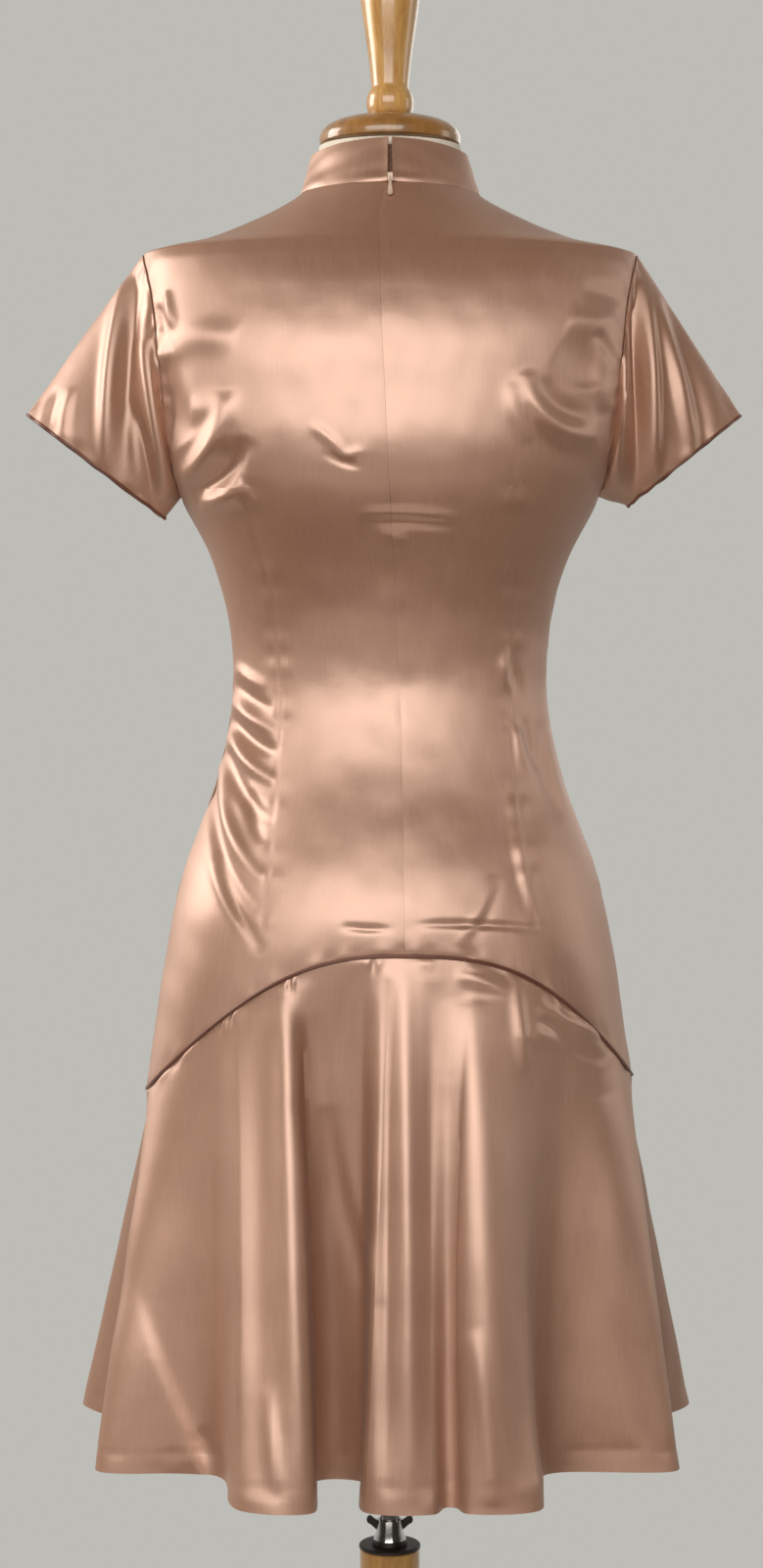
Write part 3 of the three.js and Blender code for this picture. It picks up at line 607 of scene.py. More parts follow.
def polyester_satin(name, light, deep, roughness=0.43, shine=0.9):
    """Warp-faced polyester satin: long floats give a soft wide shine across the threads.

    The threads are 0.25 mm apart, which is too fine to show, so the slubs are drawn 1.5 mm wide.
    """
    material, tree, shader = new_material(name)
    uv = add_node(tree, "ShaderNodeUVMap", uv_map="flat")
    slub_map = add_node(
        tree, "ShaderNodeMapping", values={"Scale": (1 / (1.5 * MM), 1 / (28 * MM), 1)},
        links={"Vector": uv.outputs["UV"]},
    )
    slubs = add_node(
        tree, "ShaderNodeTexNoise", values={"Scale": 1, "Detail": 3, "Roughness": 0.6},
        links={"Vector": slub_map.outputs["Vector"]},
    )
    where = add_node(tree, "ShaderNodeTexCoord")
    clouds = add_node(
        tree, "ShaderNodeTexNoise", values={"Scale": 1 / (55 * MM), "Detail": 2},
        links={"Vector": where.outputs["Object"]},
    )
    blend = add_node(
        tree, "ShaderNodeMath", values={1: 0.6}, links={0: slubs.outputs["Fac"]}, operation="MULTIPLY"
    )
    mixed = add_node(
        tree, "ShaderNodeMath", values={1: 0.4},
        links={0: clouds.outputs["Fac"], 2: blend.outputs["Value"]}, operation="MULTIPLY_ADD",
    )
    colour = colour_ramp(tree, mixed.outputs["Value"], [(0.3, deep), (0.66, light)])
    tree.links.new(colour, shader.inputs["Base Color"])
    rough = add_node(
        tree, "ShaderNodeMapRange",
        values={"From Min": 0.3, "From Max": 0.7, "To Min": roughness - 0.01, "To Max": roughness + 0.02},
        links={"Value": slubs.outputs["Fac"]},
    )
    tree.links.new(rough.outputs["Result"], shader.inputs["Roughness"])
    crinkle = add_node(
        tree, "ShaderNodeTexNoise", values={"Scale": 1 / (16 * MM), "Detail": 3, "Roughness": 0.45},
        links={"Vector": where.outputs["Object"]},
    )
    soft = add_node(
        tree, "ShaderNodeBump", values={"Strength": 0.35, "Distance": 0.5 * MM},
        links={"Height": crinkle.outputs["Fac"]},
    )
    threads = add_node(
        tree, "ShaderNodeBump", values={"Strength": 0.05, "Distance": 0.1 * MM},
        links={"Height": slubs.outputs["Fac"], "Normal": soft.outputs["Normal"]},
    )
    tree.links.new(threads.outputs["Normal"], shader.inputs["Normal"])
    threads_way = add_node(tree, "ShaderNodeTangent", direction_type="UV_MAP", uv_map="flat")
    tree.links.new(threads_way.outputs["Tangent"], shader.inputs["Tangent"])
    shader.inputs["Metallic"].default_value = 0.4 * shine
    shader.inputs["IOR"].default_value = 1.9
    shader.inputs["Specular IOR Level"].default_value = shine
    shader.inputs["Anisotropic"].default_value = 0.74
    shader.inputs["Sheen Weight"].default_value = 0.04
    shader.inputs["Sheen Roughness"].default_value = 0.5
    return material


def cotton_jersey(name, colour):
    """Knitted cotton jersey over padding: matt, with fine wales 1.6 mm apart."""
    material, tree, shader = new_material(name)
    where = add_node(tree, "ShaderNodeTexCoord")
    wales = add_node(
        tree, "ShaderNodeTexWave",
        values={"Scale": 1 / (2 * 1.6 * MM * math.pi), "Distortion": 0.6, "Detail": 1},
        links={"Vector": where.outputs["Object"]}, wave_type="BANDS", bands_direction="X",
    )
    fuzz = add_node(
        tree, "ShaderNodeTexNoise", values={"Scale": 1 / (3 * MM), "Detail": 4},
        links={"Vector": where.outputs["Object"]},
    )
    darker = tuple(c * 0.84 for c in colour)
    tone = colour_ramp(tree, fuzz.outputs["Fac"], [(0.3, darker), (0.7, colour)])
    tree.links.new(tone, shader.inputs["Base Color"])
    bump = add_node(
        tree, "ShaderNodeBump", values={"Strength": 0.3, "Distance": 0.3 * MM},
        links={"Height": wales.outputs["Fac"]},
    )
    tree.links.new(bump.outputs["Normal"], shader.inputs["Normal"])
    shader.inputs["Roughness"].default_value = 0.9
    shader.inputs["Sheen Weight"].default_value = 0.15
    return material


def varnished_beech(name, light, grain, along_axis=2):
    """Turned beech under clear varnish: fine grain lines 3 mm apart and a glossy coat."""
    material, tree, shader = new_material(name)
    where = add_node(tree, "ShaderNodeTexCoord")
    stretch = [1 / (9 * MM)] * 3
    stretch[along_axis] = 1 / (150 * MM)
    grain_map = add_node(
        tree, "ShaderNodeMapping", values={"Scale": stretch}, links={"Vector": where.outputs["Object"]}
    )
    rings = add_node(
        tree, "ShaderNodeTexNoise", values={"Scale": 1, "Detail": 5, "Roughness": 0.6, "Distortion": 0.4},
        links={"Vector": grain_map.outputs["Vector"]},
    )
    fleck_map = add_node(
        tree, "ShaderNodeMapping",
        values={"Scale": [1 / (1.6 * MM) if k != along_axis else 1 / (12 * MM) for k in range(3)]},
        links={"Vector": where.outputs["Object"]},
    )
    flecks = add_node(
        tree, "ShaderNodeTexNoise", values={"Scale": 1, "Detail": 2},
        links={"Vector": fleck_map.outputs["Vector"]},
    )
    both = add_node(
        tree, "ShaderNodeMath", values={1: 0.3}, links={0: flecks.outputs["Fac"], 2: rings.outputs["Fac"]},
        operation="MULTIPLY_ADD",
    )
    tone = colour_ramp(tree, both.outputs["Value"], [(0.45, grain), (0.85, light)])
    tree.links.new(tone, shader.inputs["Base Color"])
    bump = add_node(
        tree, "ShaderNodeBump", values={"Strength": 0.06, "Distance": 0.2 * MM},
        links={"Height": both.outputs["Value"]},
    )
    tree.links.new(bump.outputs["Normal"], shader.inputs["Normal"])
    shader.inputs["Roughness"].default_value = 0.42
    shader.inputs["Coat Weight"].default_value = 0.8
    shader.inputs["Coat Roughness"].default_value = 0.12
    return material


def polished_chrome(name):
    """Chromed steel tube, polished, with faint handling smears 12 mm across."""
    material, tree, shader = new_material(name)
    where = add_node(tree, "ShaderNodeTexCoord")
    smears = add_node(
        tree, "ShaderNodeTexNoise", values={"Scale": 1 / (12 * MM), "Detail": 3},
        links={"Vector": where.outputs["Object"]},
    )
    rough = add_node(
        tree, "ShaderNodeMapRange", values={"To Min": 0.1, "To Max": 0.24},
        links={"Value": smears.outputs["Fac"]},
    )
    tree.links.new(rough.outputs["Result"], shader.inputs["Roughness"])
    shader.inputs["Base Color"].default_value = plain(linear("#d8d8d6"))
    shader.inputs["Metallic"].default_value = 1
    return material


def enamelled_metal(name, colour, roughness):
    """Stove-enamelled steel or zinc: a smooth coat with faint mottling 4 mm across."""
    material, tree, shader = new_material(name)
    where = add_node(tree, "ShaderNodeTexCoord")
    mottle = add_node(
        tree, "ShaderNodeTexNoise", values={"Scale": 1 / (4 * MM), "Detail": 3},
        links={"Vector": where.outputs["Object"]},
    )
    tone = colour_ramp(tree, mottle.outputs["Fac"], [(0.3, tuple(c * 0.8 for c in colour)), (0.7, colour)])
    tree.links.new(tone, shader.inputs["Base Color"])
    rough = add_node(
        tree, "ShaderNodeMapRange", values={"To Min": roughness - 0.06, "To Max": roughness + 0.08},
        links={"Value": mottle.outputs["Fac"]},
    )
    tree.links.new(rough.outputs["Result"], shader.inputs["Roughness"])
    return material


def woven_tape(name, colour):
    """Polyester zip tape: matt, in a herringbone weave of 1 mm ribs."""
    material, tree, shader = new_material(name)
    where = add_node(tree, "ShaderNodeTexCoord")
    ribs = add_node(
        tree, "ShaderNodeTexWave", values={"Scale": 1 / (2 * math.pi * MM), "Distortion": 0.3},
        links={"Vector": where.outputs["Object"]}, wave_type="BANDS", bands_direction="DIAGONAL",
    )
    tone = colour_ramp(tree, ribs.outputs["Fac"], [(0.2, tuple(c * 0.7 for c in colour)), (0.8, colour)])
    tree.links.new(tone, shader.inputs["Base Color"])
    bump = add_node(
        tree, "ShaderNodeBump", values={"Strength": 0.4, "Distance": 0.2 * MM},
        links={"Height": ribs.outputs["Fac"]},
    )
    tree.links.new(bump.outputs["Normal"], shader.inputs["Normal"])
    shader.inputs["Roughness"].default_value = 0.85
    return material


def painted_floor(name, colour):
    """Plain painted board with a faint unevenness 80 mm across."""
    material, tree, shader = new_material(name)
    where = add_node(tree, "ShaderNodeTexCoord")
    patches = add_node(
        tree, "ShaderNodeTexNoise", values={"Scale": 1 / (80 * MM), "Detail": 3},
        links={"Vector": where.outputs["Object"]},
    )
    tone = colour_ramp(tree, patches.outputs["Fac"], [(0.3, tuple(c * 0.94 for c in colour)), (0.7, colour)])
    tree.links.new(tone, shader.inputs["Base Color"])
    shader.inputs["Roughness"].default_value = 0.8
    return material


MATERIALS = {}


def material_for(slot):
    """The material of a slot of the record, made once."""
    if not MATERIALS:
        colours = bpy.context.scene.dress_colours
        MATERIALS["satin"] = polyester_satin("polyester_satin_rose_gold", colours.satin, colours.satin_deep)
        deep = tuple(c * 0.6 for c in colours.piping)
        deep_grain = tuple(c * 0.6 for c in colours.wood_grain)
        MATERIALS["piping"] = polyester_satin("polyester_satin_brown_cord", colours.piping, deep, 0.5, 0.3)
        MATERIALS["jersey"] = cotton_jersey("cotton_jersey_off_white", colours.jersey)
        MATERIALS["wood"] = varnished_beech("varnished_beech_turned", colours.wood, colours.wood_grain)
        MATERIALS["wood_dark"] = varnished_beech("varnished_beech_stained", colours.wood_grain, deep_grain)
        MATERIALS["chrome"] = polished_chrome("polished_chrome_tube")
        MATERIALS["black_metal"] = enamelled_metal("enamelled_steel_black", linear("#2a211c"), 0.42)
        MATERIALS["zip_metal"] = enamelled_metal("enamelled_zinc_peach", linear("#dcbfa9"), 0.32)
        MATERIALS["zip_tape"] = woven_tape("woven_polyester_tape", linear("#6d4a3b"))
        MATERIALS["floor"] = painted_floor("painted_board_pale", colours.floor)
    return MATERIALS[slot]


# ---- Bodice ----


def bodice_levels(step):
    """Shares and levels of the bodice's rows: shares rise from the hip seam to the first level."""
    first = 890
    low = np.linspace(0, 1, round((first - SEAM_PEAK_Z + SEAM_DROP / 2) / step), endpoint=False)
    below = np.arange(first, ARMHOLE_Z - ARMHOLE_HALF_HEIGHT, step)
    rounds = np.linspace(0, np.pi, round(ARMHOLE_HALF_HEIGHT * np.pi / step))
    beside = ARMHOLE_Z - ARMHOLE_HALF_HEIGHT * np.cos(rounds)
    above = np.linspace(beside[-1] + 0.5, NECK_Z, round((NECK_Z - beside[-1]) / (0.7 * step)))
    return low, np.concatenate([below, beside, above])


def edge_angle(level, forward):
    """The angle of a panel's side edge at each level: the side seam, or the edge of the armhole."""
    near, far = np.full_like(level, 90.0), np.full_like(level, 178.0 if forward else 2.0)
    for _ in range(34):
        angle = (near + far) / 2
        z = row_z(level, angle)
        inside = np.abs(body_point(angle, z)[..., 1]) < armhole_depth(z)
        near, far = np.where(inside, angle, near), np.where(inside, far, angle)
    return near


def panel_points(start, end, columns, low, levels):
    """A grid over the bodice between two edges, each an angle at every row."""
    shares = np.linspace(0, 1, columns)
    rows = []
    for k in range(len(low) + len(levels)):
        a = start[k] + (end[k] - start[k]) * shares
        if k < len(low):
            z = seam_z(a) + SEAM_GAP + (levels[0] - seam_z(a) - SEAM_GAP) * low[k]
        else:
            z = row_z(levels[k - len(low)], a)
        rows.append(body_point(a, z))
    return np.array(rows)


def seam_angle(table, levels):
    """The angle at which the centre back seam crosses each level."""
    x = along(table, levels)
    power = section("power", levels) / 2
    share = np.abs(x) / section("width", levels)
    return np.degrees(np.arcsin(share**power)) * np.sign(x)


def dress_back(points, sizes):
    """The back's creases, darts and seams, as heights over a grid of its points."""
    x, z = points[..., 0], points[..., 2]
    height = crease_height(BACK_CREASES, x, z)
    height += BLADE_FULLNESS * np.exp(-(((z - BLADE_Z) / 48) ** 2)) * np.clip((185 - np.abs(x)) / 60, 0, 1)
    height += 0.35 * undulation(x, z, 120, 1) + 0.16 * undulation(x, z, 34, 2)
    for dart in (LEFT_DART, RIGHT_DART):
        ends = np.clip((z - dart[0].z + 12) / 12, 0, 1) * np.clip((dart[-1].z + 12 - z) / 12, 0, 1)
        height += ends * seam_height(x - along(dart, z), z, 0.6, 0.4)
    height += seam_height(x - along(BODICE_SEAM, z), z * 0.6, 0.25, 0.16)
    hip = z - seam_z(np.degrees(np.arctan2(x / 185, points[..., 1] / 135)))
    height += seam_height(hip, x, 0.5, 0.5)
    return no_deeper(height * sizes.crease_depth)


def no_deeper(height, limit=6.0):
    """Heights whose troughs level off softly, so that the cloth stays clear of the form under it."""
    return np.where(height < 0, -limit * np.tanh(-height / limit), height)


def armhole_distance(points):
    """How far points of the bodice lie outside the armholes, about."""
    y, z = points[..., 1], points[..., 2]
    share = np.hypot(y / ARMHOLE_HALF_DEPTH, (z - ARMHOLE_Z) / ARMHOLE_HALF_HEIGHT)
    return (share - 1) * ARMHOLE_MEAN_RADIUS


def clear_of_armhole(points):
    """A factor that brings creases down to nothing where the sleeves are sewn on."""
    return np.clip(armhole_distance(points) / 9, 0, 1)


def arm_seam(points):
    """The dip and the puckers of the armhole seam over a grid of the bodice's points."""
    turn = np.arctan2(points[..., 1], points[..., 2] - ARMHOLE_Z) * 80
    return seam_height(armhole_distance(points), turn, 0.3, 0.6)


class DRESS_OT_back(bpy.types.Operator):
    """Makes the two back panels, with their darts, drag lines and leaning centre seam"""

    bl_idname = "dress.back"
    bl_label = "Back panels"

    def execute(self, context):
        sizes = context.scene.dress_sizes
        low, levels = bodice_levels(sizes.mesh_step)
        all_levels = np.concatenate([np.full(len(low), SEAM_PEAK_Z), levels])
        centre = seam_angle(BODICE_SEAM, all_levels)
        side_edge = edge_angle(np.concatenate([np.full(len(low), levels[0]), levels]), False)
        columns = round(BACK_PANEL_WIDTH / sizes.mesh_step)
        for side, name in ((1, "back_left"), (-1, "back_right")):
            points = panel_points(centre + side * CENTRE_BACK_GAP, side * side_edge, columns, low, levels)
            normals = grid_normals(points) * side
            height = dress_back(points, sizes) * clear_of_armhole(points) + arm_seam(points)
            points = points + normals * height[..., None]
            piece = give_thickness(grid_mesh(f"{name}_panel", points, normals), sizes.cloth)
            finish_piece(piece, "form", material_for("satin"), "satin", name)
        return {"FINISHED"}


class DRESS_OT_front(bpy.types.Operator):
    """Makes the plain front panel"""

    bl_idname = "dress.front"
    bl_label = "Front panel"

    def execute(self, context):
        sizes = context.scene.dress_sizes
        low, levels = bodice_levels(sizes.mesh_step)
        edge = edge_angle(np.concatenate([np.full(len(low), levels[0]), levels]), True)
        points = panel_points(edge, 360 - edge, round(FRONT_PANEL_WIDTH / sizes.mesh_step), low, levels)
        normals = grid_normals(points)
        x, z = points[..., 0], points[..., 2]
        height = crease_height(FRONT_CREASES, x, z)
        height += 0.55 * undulation(x, z, 95, 4) + 0.3 * undulation(x, z, 38, 5)
        height = no_deeper(height * sizes.crease_depth) * clear_of_armhole(points) + arm_seam(points)
        points = points + normals * height[..., None]
        piece = give_thickness(grid_mesh("front_panel", points, normals), sizes.cloth)
        finish_piece(piece, "form", material_for("satin"), "satin", "front")
        return {"FINISHED"}


# ---- Sleeves ----


class Sleeve(NamedTuple):
    name: str
    side: int
    outer_x: float
    outer_z: float
    under_x: float
    under_z: float


SLEEVES = [Sleeve("left", 1, 294, 1245, 184, 1162), Sleeve("right", -1, 284, 1244, 194, 1172)]
SLEEVE_HALF_DEPTH, SLEEVE_CORNER_POWER = 36, 1.35
SLEEVE_LENGTH, SLEEVE_ROUND = 165, 500

SLEEVE_CREASES = {
    "left": [
        Crease(212, 1352, 229, 1190, 2, 7, -7),
        Crease(202, 1366, 212, 1186, 2, 8, 6),
        Crease(197, 1300, 182, 1172, -3, 8, -8),
        Crease(206, 1252, 190, 1168, -3, 6, 5),
        Crease(254, 1262, 262, 1222, 2, 4, -3),
        Crease(266, 1262, 276, 1232, 2, 4, 2.5),
    ],
    "right": [
        Crease(-194, 1364, -198, 1174, 0, 6, 9),
        Crease(-184, 1306, -181, 1182, 1, 7, -9),
        Crease(-204, 1344, -213, 1184, -1, 5, -6),
        Crease(-211, 1340, -244, 1204, -3, 6, -5.5),
        Crease(-220, 1336, -256, 1212, -3, 8, 4),
    ],
}


def body_width_at(y, z):
    """The half width of the dress's outer surface at depths y and heights z."""
    depth = np.where(y > 0, section("back", z), section("front", z))
    power = section("power", z)
    return section("width", z) * (1 - np.abs(y / depth) ** power) ** (1 / power)


def sleeve_points(sleeve, rows, columns):
    """A sleeve's rings, from the armhole to the hem."""
    t = np.linspace(0, 2 * np.pi, columns)
    y = (ARMHOLE_HALF_DEPTH - 0.05) * np.sin(t)
    z = ARMHOLE_Z + (ARMHOLE_HALF_HEIGHT - 0.05) * np.cos(t)
    top = np.stack([body_width_at(y, z), y, z], axis=-1)
    outer = np.array([sleeve.outer_x, 0, sleeve.outer_z], float)
    under = np.array([sleeve.under_x, 0, sleeve.under_z], float)
    hem = (outer + under) / 2 + (outer - under) / 2 * np.cos(t)[:, None]
    hem[:, 1] = SLEEVE_HALF_DEPTH * signed_power(np.sin(t), SLEEVE_CORNER_POWER)
    share = np.linspace(0, 1, rows)[:, None, None]
    points = top[None] * (1 - share) + hem[None] * share
    points[..., 0] *= sleeve.side
    return points


class DRESS_OT_sleeves(bpy.types.Operator):
    """Makes the two short flared sleeves and the piping on their hems"""

    bl_idname = "dress.sleeves"
    bl_label = "Sleeves"

    def execute(self, context):
        sizes = context.scene.dress_sizes
        for sleeve in SLEEVES:
            rows = round(SLEEVE_LENGTH / sizes.mesh_step) + 1
            columns = round(SLEEVE_ROUND / sizes.mesh_step) + 1
            points = sleeve_points(sleeve, rows, columns)
            normals = grid_normals(points, wrap=True) * -sleeve.side
            x, y, z = points[..., 0], points[..., 1], points[..., 2]
            share = np.linspace(0, 1, rows)[:, None] + 0 * x
            behind = crease_height(SLEEVE_CREASES[sleeve.name], x, z)
            other = SLEEVE_CREASES["right" if sleeve.side > 0 else "left"]
            before = crease_height(mirrored(other, 0.9, 6), x, z)
            facing = np.clip(np.abs(y) / 14, 0, 1)
            height = np.where(y > 0, behind, before) * facing * np.clip(share * SLEEVE_LENGTH / 14, 0, 1)
            place = np.linspace(0, SLEEVE_ROUND, columns)[None, :] + 0 * x
            height += 0.6 * undulation(x + 2 * y, z, 60, 7 + sleeve.side) * share
            hem_edge = np.exp(-(((1 - share) * SLEEVE_LENGTH / 9) ** 2))
            height += hem_edge * (0.8 * np.sin(place / 5.2) + 0.6 * np.sin(place / 8.3 + 1))
            height += seam_height(share * SLEEVE_LENGTH, place, 0.3, 0.8)
            points = points + normals * (height * sizes.crease_depth)[..., None]
            points[:, -1] = points[:, 0]
            piece = grid_mesh(f"sleeve_{sleeve.name}_cloth", points, normals, closed_round=True)
            give_thickness(piece, sizes.cloth)
            finish_piece(piece, "form", material_for("satin"), "satin", f"sleeve_{sleeve.name}")
            edge = points[-1, :-1] - normals[-1, :-1] * sizes.cloth / 2
            down = points[-1, :-1] - points[-2, :-1]
            down /= np.linalg.norm(down, axis=-1, keepdims=True)
            path = edge + down * sizes.piping * 0.7
            cord_points, cord_normals = tube_points(path, sizes.piping, closed=True)
            cord = grid_mesh(
                f"sleeve_{sleeve.name}_piping_cord", cord_points, cord_normals,
                closed_round=True, closed_along=True,
            )
            finish_piece(cord, "form", material_for("piping"), "piping", f"sleeve_piping_{sleeve.name}")
        return {"FINISHED"}


# ---- Skirt ----


class HemFold(NamedTuple):
    x1: float
    y1: float
    x2: float
    y2: float
    seam1: float
    seam2: float


# The hem, one row for each crest, hollow or flat, as in the solid model.
HEM_FOLDS = [
    HemFold(-33, 227, 19, 223, -8, 0),
    HemFold(24, 140, 55, 139, 5, 19),
    HemFold(58, 225, 112, 218, 24, 36),
    HemFold(137, 124, 227, 112, 44, 73),
    HemFold(213, 44, 209, -16, 83, 91),
    HemFold(263, -100, 245, -137, 103, 110),
    HemFold(192, -127, 172, -136, 118, 123),
    HemFold(164, -206, 118, -220, 132, 142),
    HemFold(104, -150, 78, -149, 148, 155),
    HemFold(70, -226, 28, -229, 162, 170),
    HemFold(15, -150, -16, -148, 176, 184),
    HemFold(-24, -224, -76, -228, 190, 200),
    HemFold(-88, -152, -112, -147, 206, 213),
    HemFold(-124, -216, -166, -198, 219, 229),
    HemFold(-176, -134, -194, -122, 237, 243),
    HemFold(-241, -138, -257, -101, 250, 257),
    HemFold(-206, -14, -209, 42, 269, 277),
    HemFold(-224, 110, -122, 122, 287, 314),
    HemFold(-109, 219, -57, 226, 329, 342),
    HemFold(-49, 211, -41, 210, 345, 348),
]

SKIRT_BACK_CREASES = [
    # the foot of the flap at the lower left
    Crease(148, 446, 128, 408, -2, 8, -2.5),
    Crease(92, 500, 84, 424, 1, 5, 3.0),
    # the broad left plane turns to a narrow ridge, then to a deep fold
    Crease(82, 786, 64, 414, 1, 10, 8.0),
    Crease(106, 770, 100, 420, 0, 18, -8.0),
    Crease(60, 770, 20, 560, 3, 7, -3.0),
    Crease(50, 700, 42, 408, 0, 12, -4.5),
    Crease(52, 730, 8, 560, 3, 6, 2.0),
    # the middle fold
    Crease(1, 800, 4, 420, 1, 5, -4.5),
    Crease(-11, 806, -14, 416, 0, 7, 5.0),
    Crease(-33, 796, -33, 420, 0, 9, -6.0),
    # the right fold
    Crease(-64, 782, -74, 416, 1, 19, 11.0),
    Crease(-62, 540, -76, 414, -2, 5, 2.5),
    Crease(-112, 752, -108, 430, 0, 18, -12.0),
    Crease(-166, 700, -178, 430, 0, 26, 5.0),
    # cloth bunched under the hip seam, wearer's right
    Crease(-112, 778, -168, 748, 3, 6, 4.5),
    Crease(-116, 766, -174, 726, 4, 6, -4.5),
    Crease(-108, 754, -172, 722, -8, 8, 4.5),
    Crease(-98, 796, -106, 726, 2, 5, 3.0),
    Crease(-50, 800, -92, 786, -2, 5, 2.5),
    Crease(66, 796, 72, 700, 2, 7, 1.8),
    Crease(30, 804, 36, 720, 2, 5, -1.8),
]


# The flap of cloth that laps over the broad left plane of the skirt.
SKIRT_BACK_LAPS = [
    Lap(208, 566, 148, 424, 3.0, 80, 5.0),
]


def on_the_way(a, b, start, end, t):
    """The point at t on the straight way from a, which is at start, to b, which is at end."""
    return (end - t) / (end - start) * a + (t - start) / (end - start) * b


def hem_line(step):
    """The hem as a smooth closed line through both ends of every fold, and each point's seam angle."""
    corners = np.array([p for f in HEM_FOLDS for p in ((f.x1, f.y1), (f.x2, f.y2))], float)
    seams = np.array([s for f in HEM_FOLDS for s in (f.seam1, f.seam2)], float)
    count = len(corners)
    line, angles = [], []
    for k in range(count):
        p = [corners[(k + j) % count] for j in (-1, 0, 1, 2)]
        next_seam = seams[(k + 1) % count] + (360 if k + 1 == count else 0)
        gaps = [max(np.linalg.norm(b - a), 1e-6) ** 0.5 for a, b in zip(p, p[1:])]
        knots = np.concatenate([[0], np.cumsum(gaps)])
        length = np.linalg.norm(p[2] - p[1])
        pieces = max(3, round(length / step))
        for j in range(pieces):
            t = knots[1] + (knots[2] - knots[1]) * j / pieces
            a = [on_the_way(p[i], p[i + 1], knots[i], knots[i + 1], t) for i in range(3)]
            b = [on_the_way(a[i], a[i + 1], knots[i], knots[i + 2], t) for i in range(2)]
            line.append(on_the_way(b[0], b[1], knots[1], knots[2], t))
            angles.append(seams[k] + (next_seam - seams[k]) * j / pieces)
    return np.array(line), np.array(angles)


def skirt_points(step):
    """The skirt's grid all round, from the hem seam down, and the seam angle of each column."""
    line, angles = hem_line(step)
    top = body_point(angles, seam_z(angles) - SEAM_GAP)
    hem = np.column_stack([line, np.full(len(line), HEM_Z, float)])
    share = np.linspace(0, 1, round((SEAM_PEAK_Z - HEM_Z) / step))[:, None, None]
    points = top[None] * (1 - share) + hem[None] * share
    return points, angles


def dress_skirt(points, sizes):
    """The skirt's creases, seam and turned hem, as heights over its grid."""
    x, y, z = points[..., 0], points[..., 1], points[..., 2]
    rows = points.shape[0]
    share = np.linspace(0, 1, rows)[:, None] + 0 * x
    behind = crease_height(SKIRT_BACK_CREASES, x, z) + lap_height(SKIRT_BACK_LAPS, x, z)
    before = crease_height(mirrored(SKIRT_BACK_CREASES, 0.8, 12), x, z)
    height = np.where(y > 0, behind, before) * np.clip((np.abs(y) - 12) / 64, 0, 1)
    waves = 0.6 * undulation(x, z / 4, 90, 11) + 0.3 * undulation(x + y, z / 3, 34, 12)
    height += waves * np.clip(share * 6, 0, 1)
    place = run_lengths(points[-1])[None, :] + 0 * x
    drop = (1 - share) * (SEAM_PEAK_Z - HEM_Z)
    turning = np.exp(-(((drop - sizes.hem_turning) / 1.6) ** 2))
    puckers = np.sin(place / 6.1) + 0.6 * np.sin(place / 3.7 + 2)
    height += -0.55 * turning + 0.16 * puckers * np.exp(-(((drop - sizes.hem_turning) / 7) ** 2))
    height += 0.5 * np.sin(place / 11 + 0.7) * np.exp(-((drop / 14) ** 2))
    height += seam_height(share * (SEAM_PEAK_Z - HEM_Z), place * 0.45, 0.5, 0.8)
    return height * sizes.crease_depth


class DRESS_OT_skirt(bpy.types.Operator):
    """Makes the flared skirt in three panels, with its deep folds and turned hem"""

    bl_idname = "dress.skirt"
    bl_label = "Skirt"

    def execute(self, context):
        sizes = context.scene.dress_sizes
        points, angles = skirt_points(sizes.mesh_step)
        ring = np.concatenate([points, points[:, :1]], axis=1)
        normals = grid_normals(ring, wrap=True)
        outward = -1 if (normals[5, 3] @ points[5, 3]) < 0 else 1
        normals = normals * outward
        shaped = ring + normals * dress_skirt(ring, sizes)[..., None]
        shaped[:, -1] = shaped[:, 0]
        centre = int(np.argmin(np.abs(angles)))
        left = int(np.argmin(np.abs(angles - 90)))
        right = int(np.argmin(np.abs(angles - 270)))
        count = len(angles)
        spans = {
            "skirt_back_left": np.arange(centre, left + 1),
            "skirt_front": np.arange(left, right + 1),
            "skirt_back_right": np.arange(right, count + centre + 1) % count,
        }
        for node, columns in spans.items():
            part = shaped[:, columns]
            part_normals = normals[:, columns]
            piece = give_thickness(grid_mesh(f"{node}_panel", part, part_normals), sizes.cloth)
            finish_piece(piece, "form", material_for("satin"), "satin", node)
        return {"FINISHED"}


class DRESS_OT_seam_piping(bpy.types.Operator):
    """Makes the brown cord in the curved hip seam"""

    bl_idname = "dress.seam_piping"
    bl_label = "Hip seam piping"

    def execute(self, context):
        sizes = context.scene.dress_sizes
        angles = np.linspace(0, 360, 361)[:-1]
        z = seam_z(angles)
        path = body_point(angles, z)
        across = body_point(angles + 1, z) - body_point(angles - 1, z)
        upward = body_point(angles, z + 5) - body_point(angles, z - 5)
        out = np.cross(upward, across)
        out /= np.linalg.norm(out, axis=1, keepdims=True)
        points, normals = tube_points(path + out * 0.7, sizes.piping, closed=True)
        piece = grid_mesh("hip_seam_piping_cord", points, normals, closed_round=True, closed_along=True)
        finish_piece(piece, "form", material_for("piping"), "piping", "seam_piping")
        return {"FINISHED"}


# ---- Collar and zip ----

COLLAR_HEIGHT, COLLAR_LEAN, COLLAR_CORNER, ZIP_OPENING = 37, 11, 14, 4.6
COLLAR_SIDE_DIP, COLLAR_WALL, COLLAR_HALF_LENGTH = 6, 1.7, 220


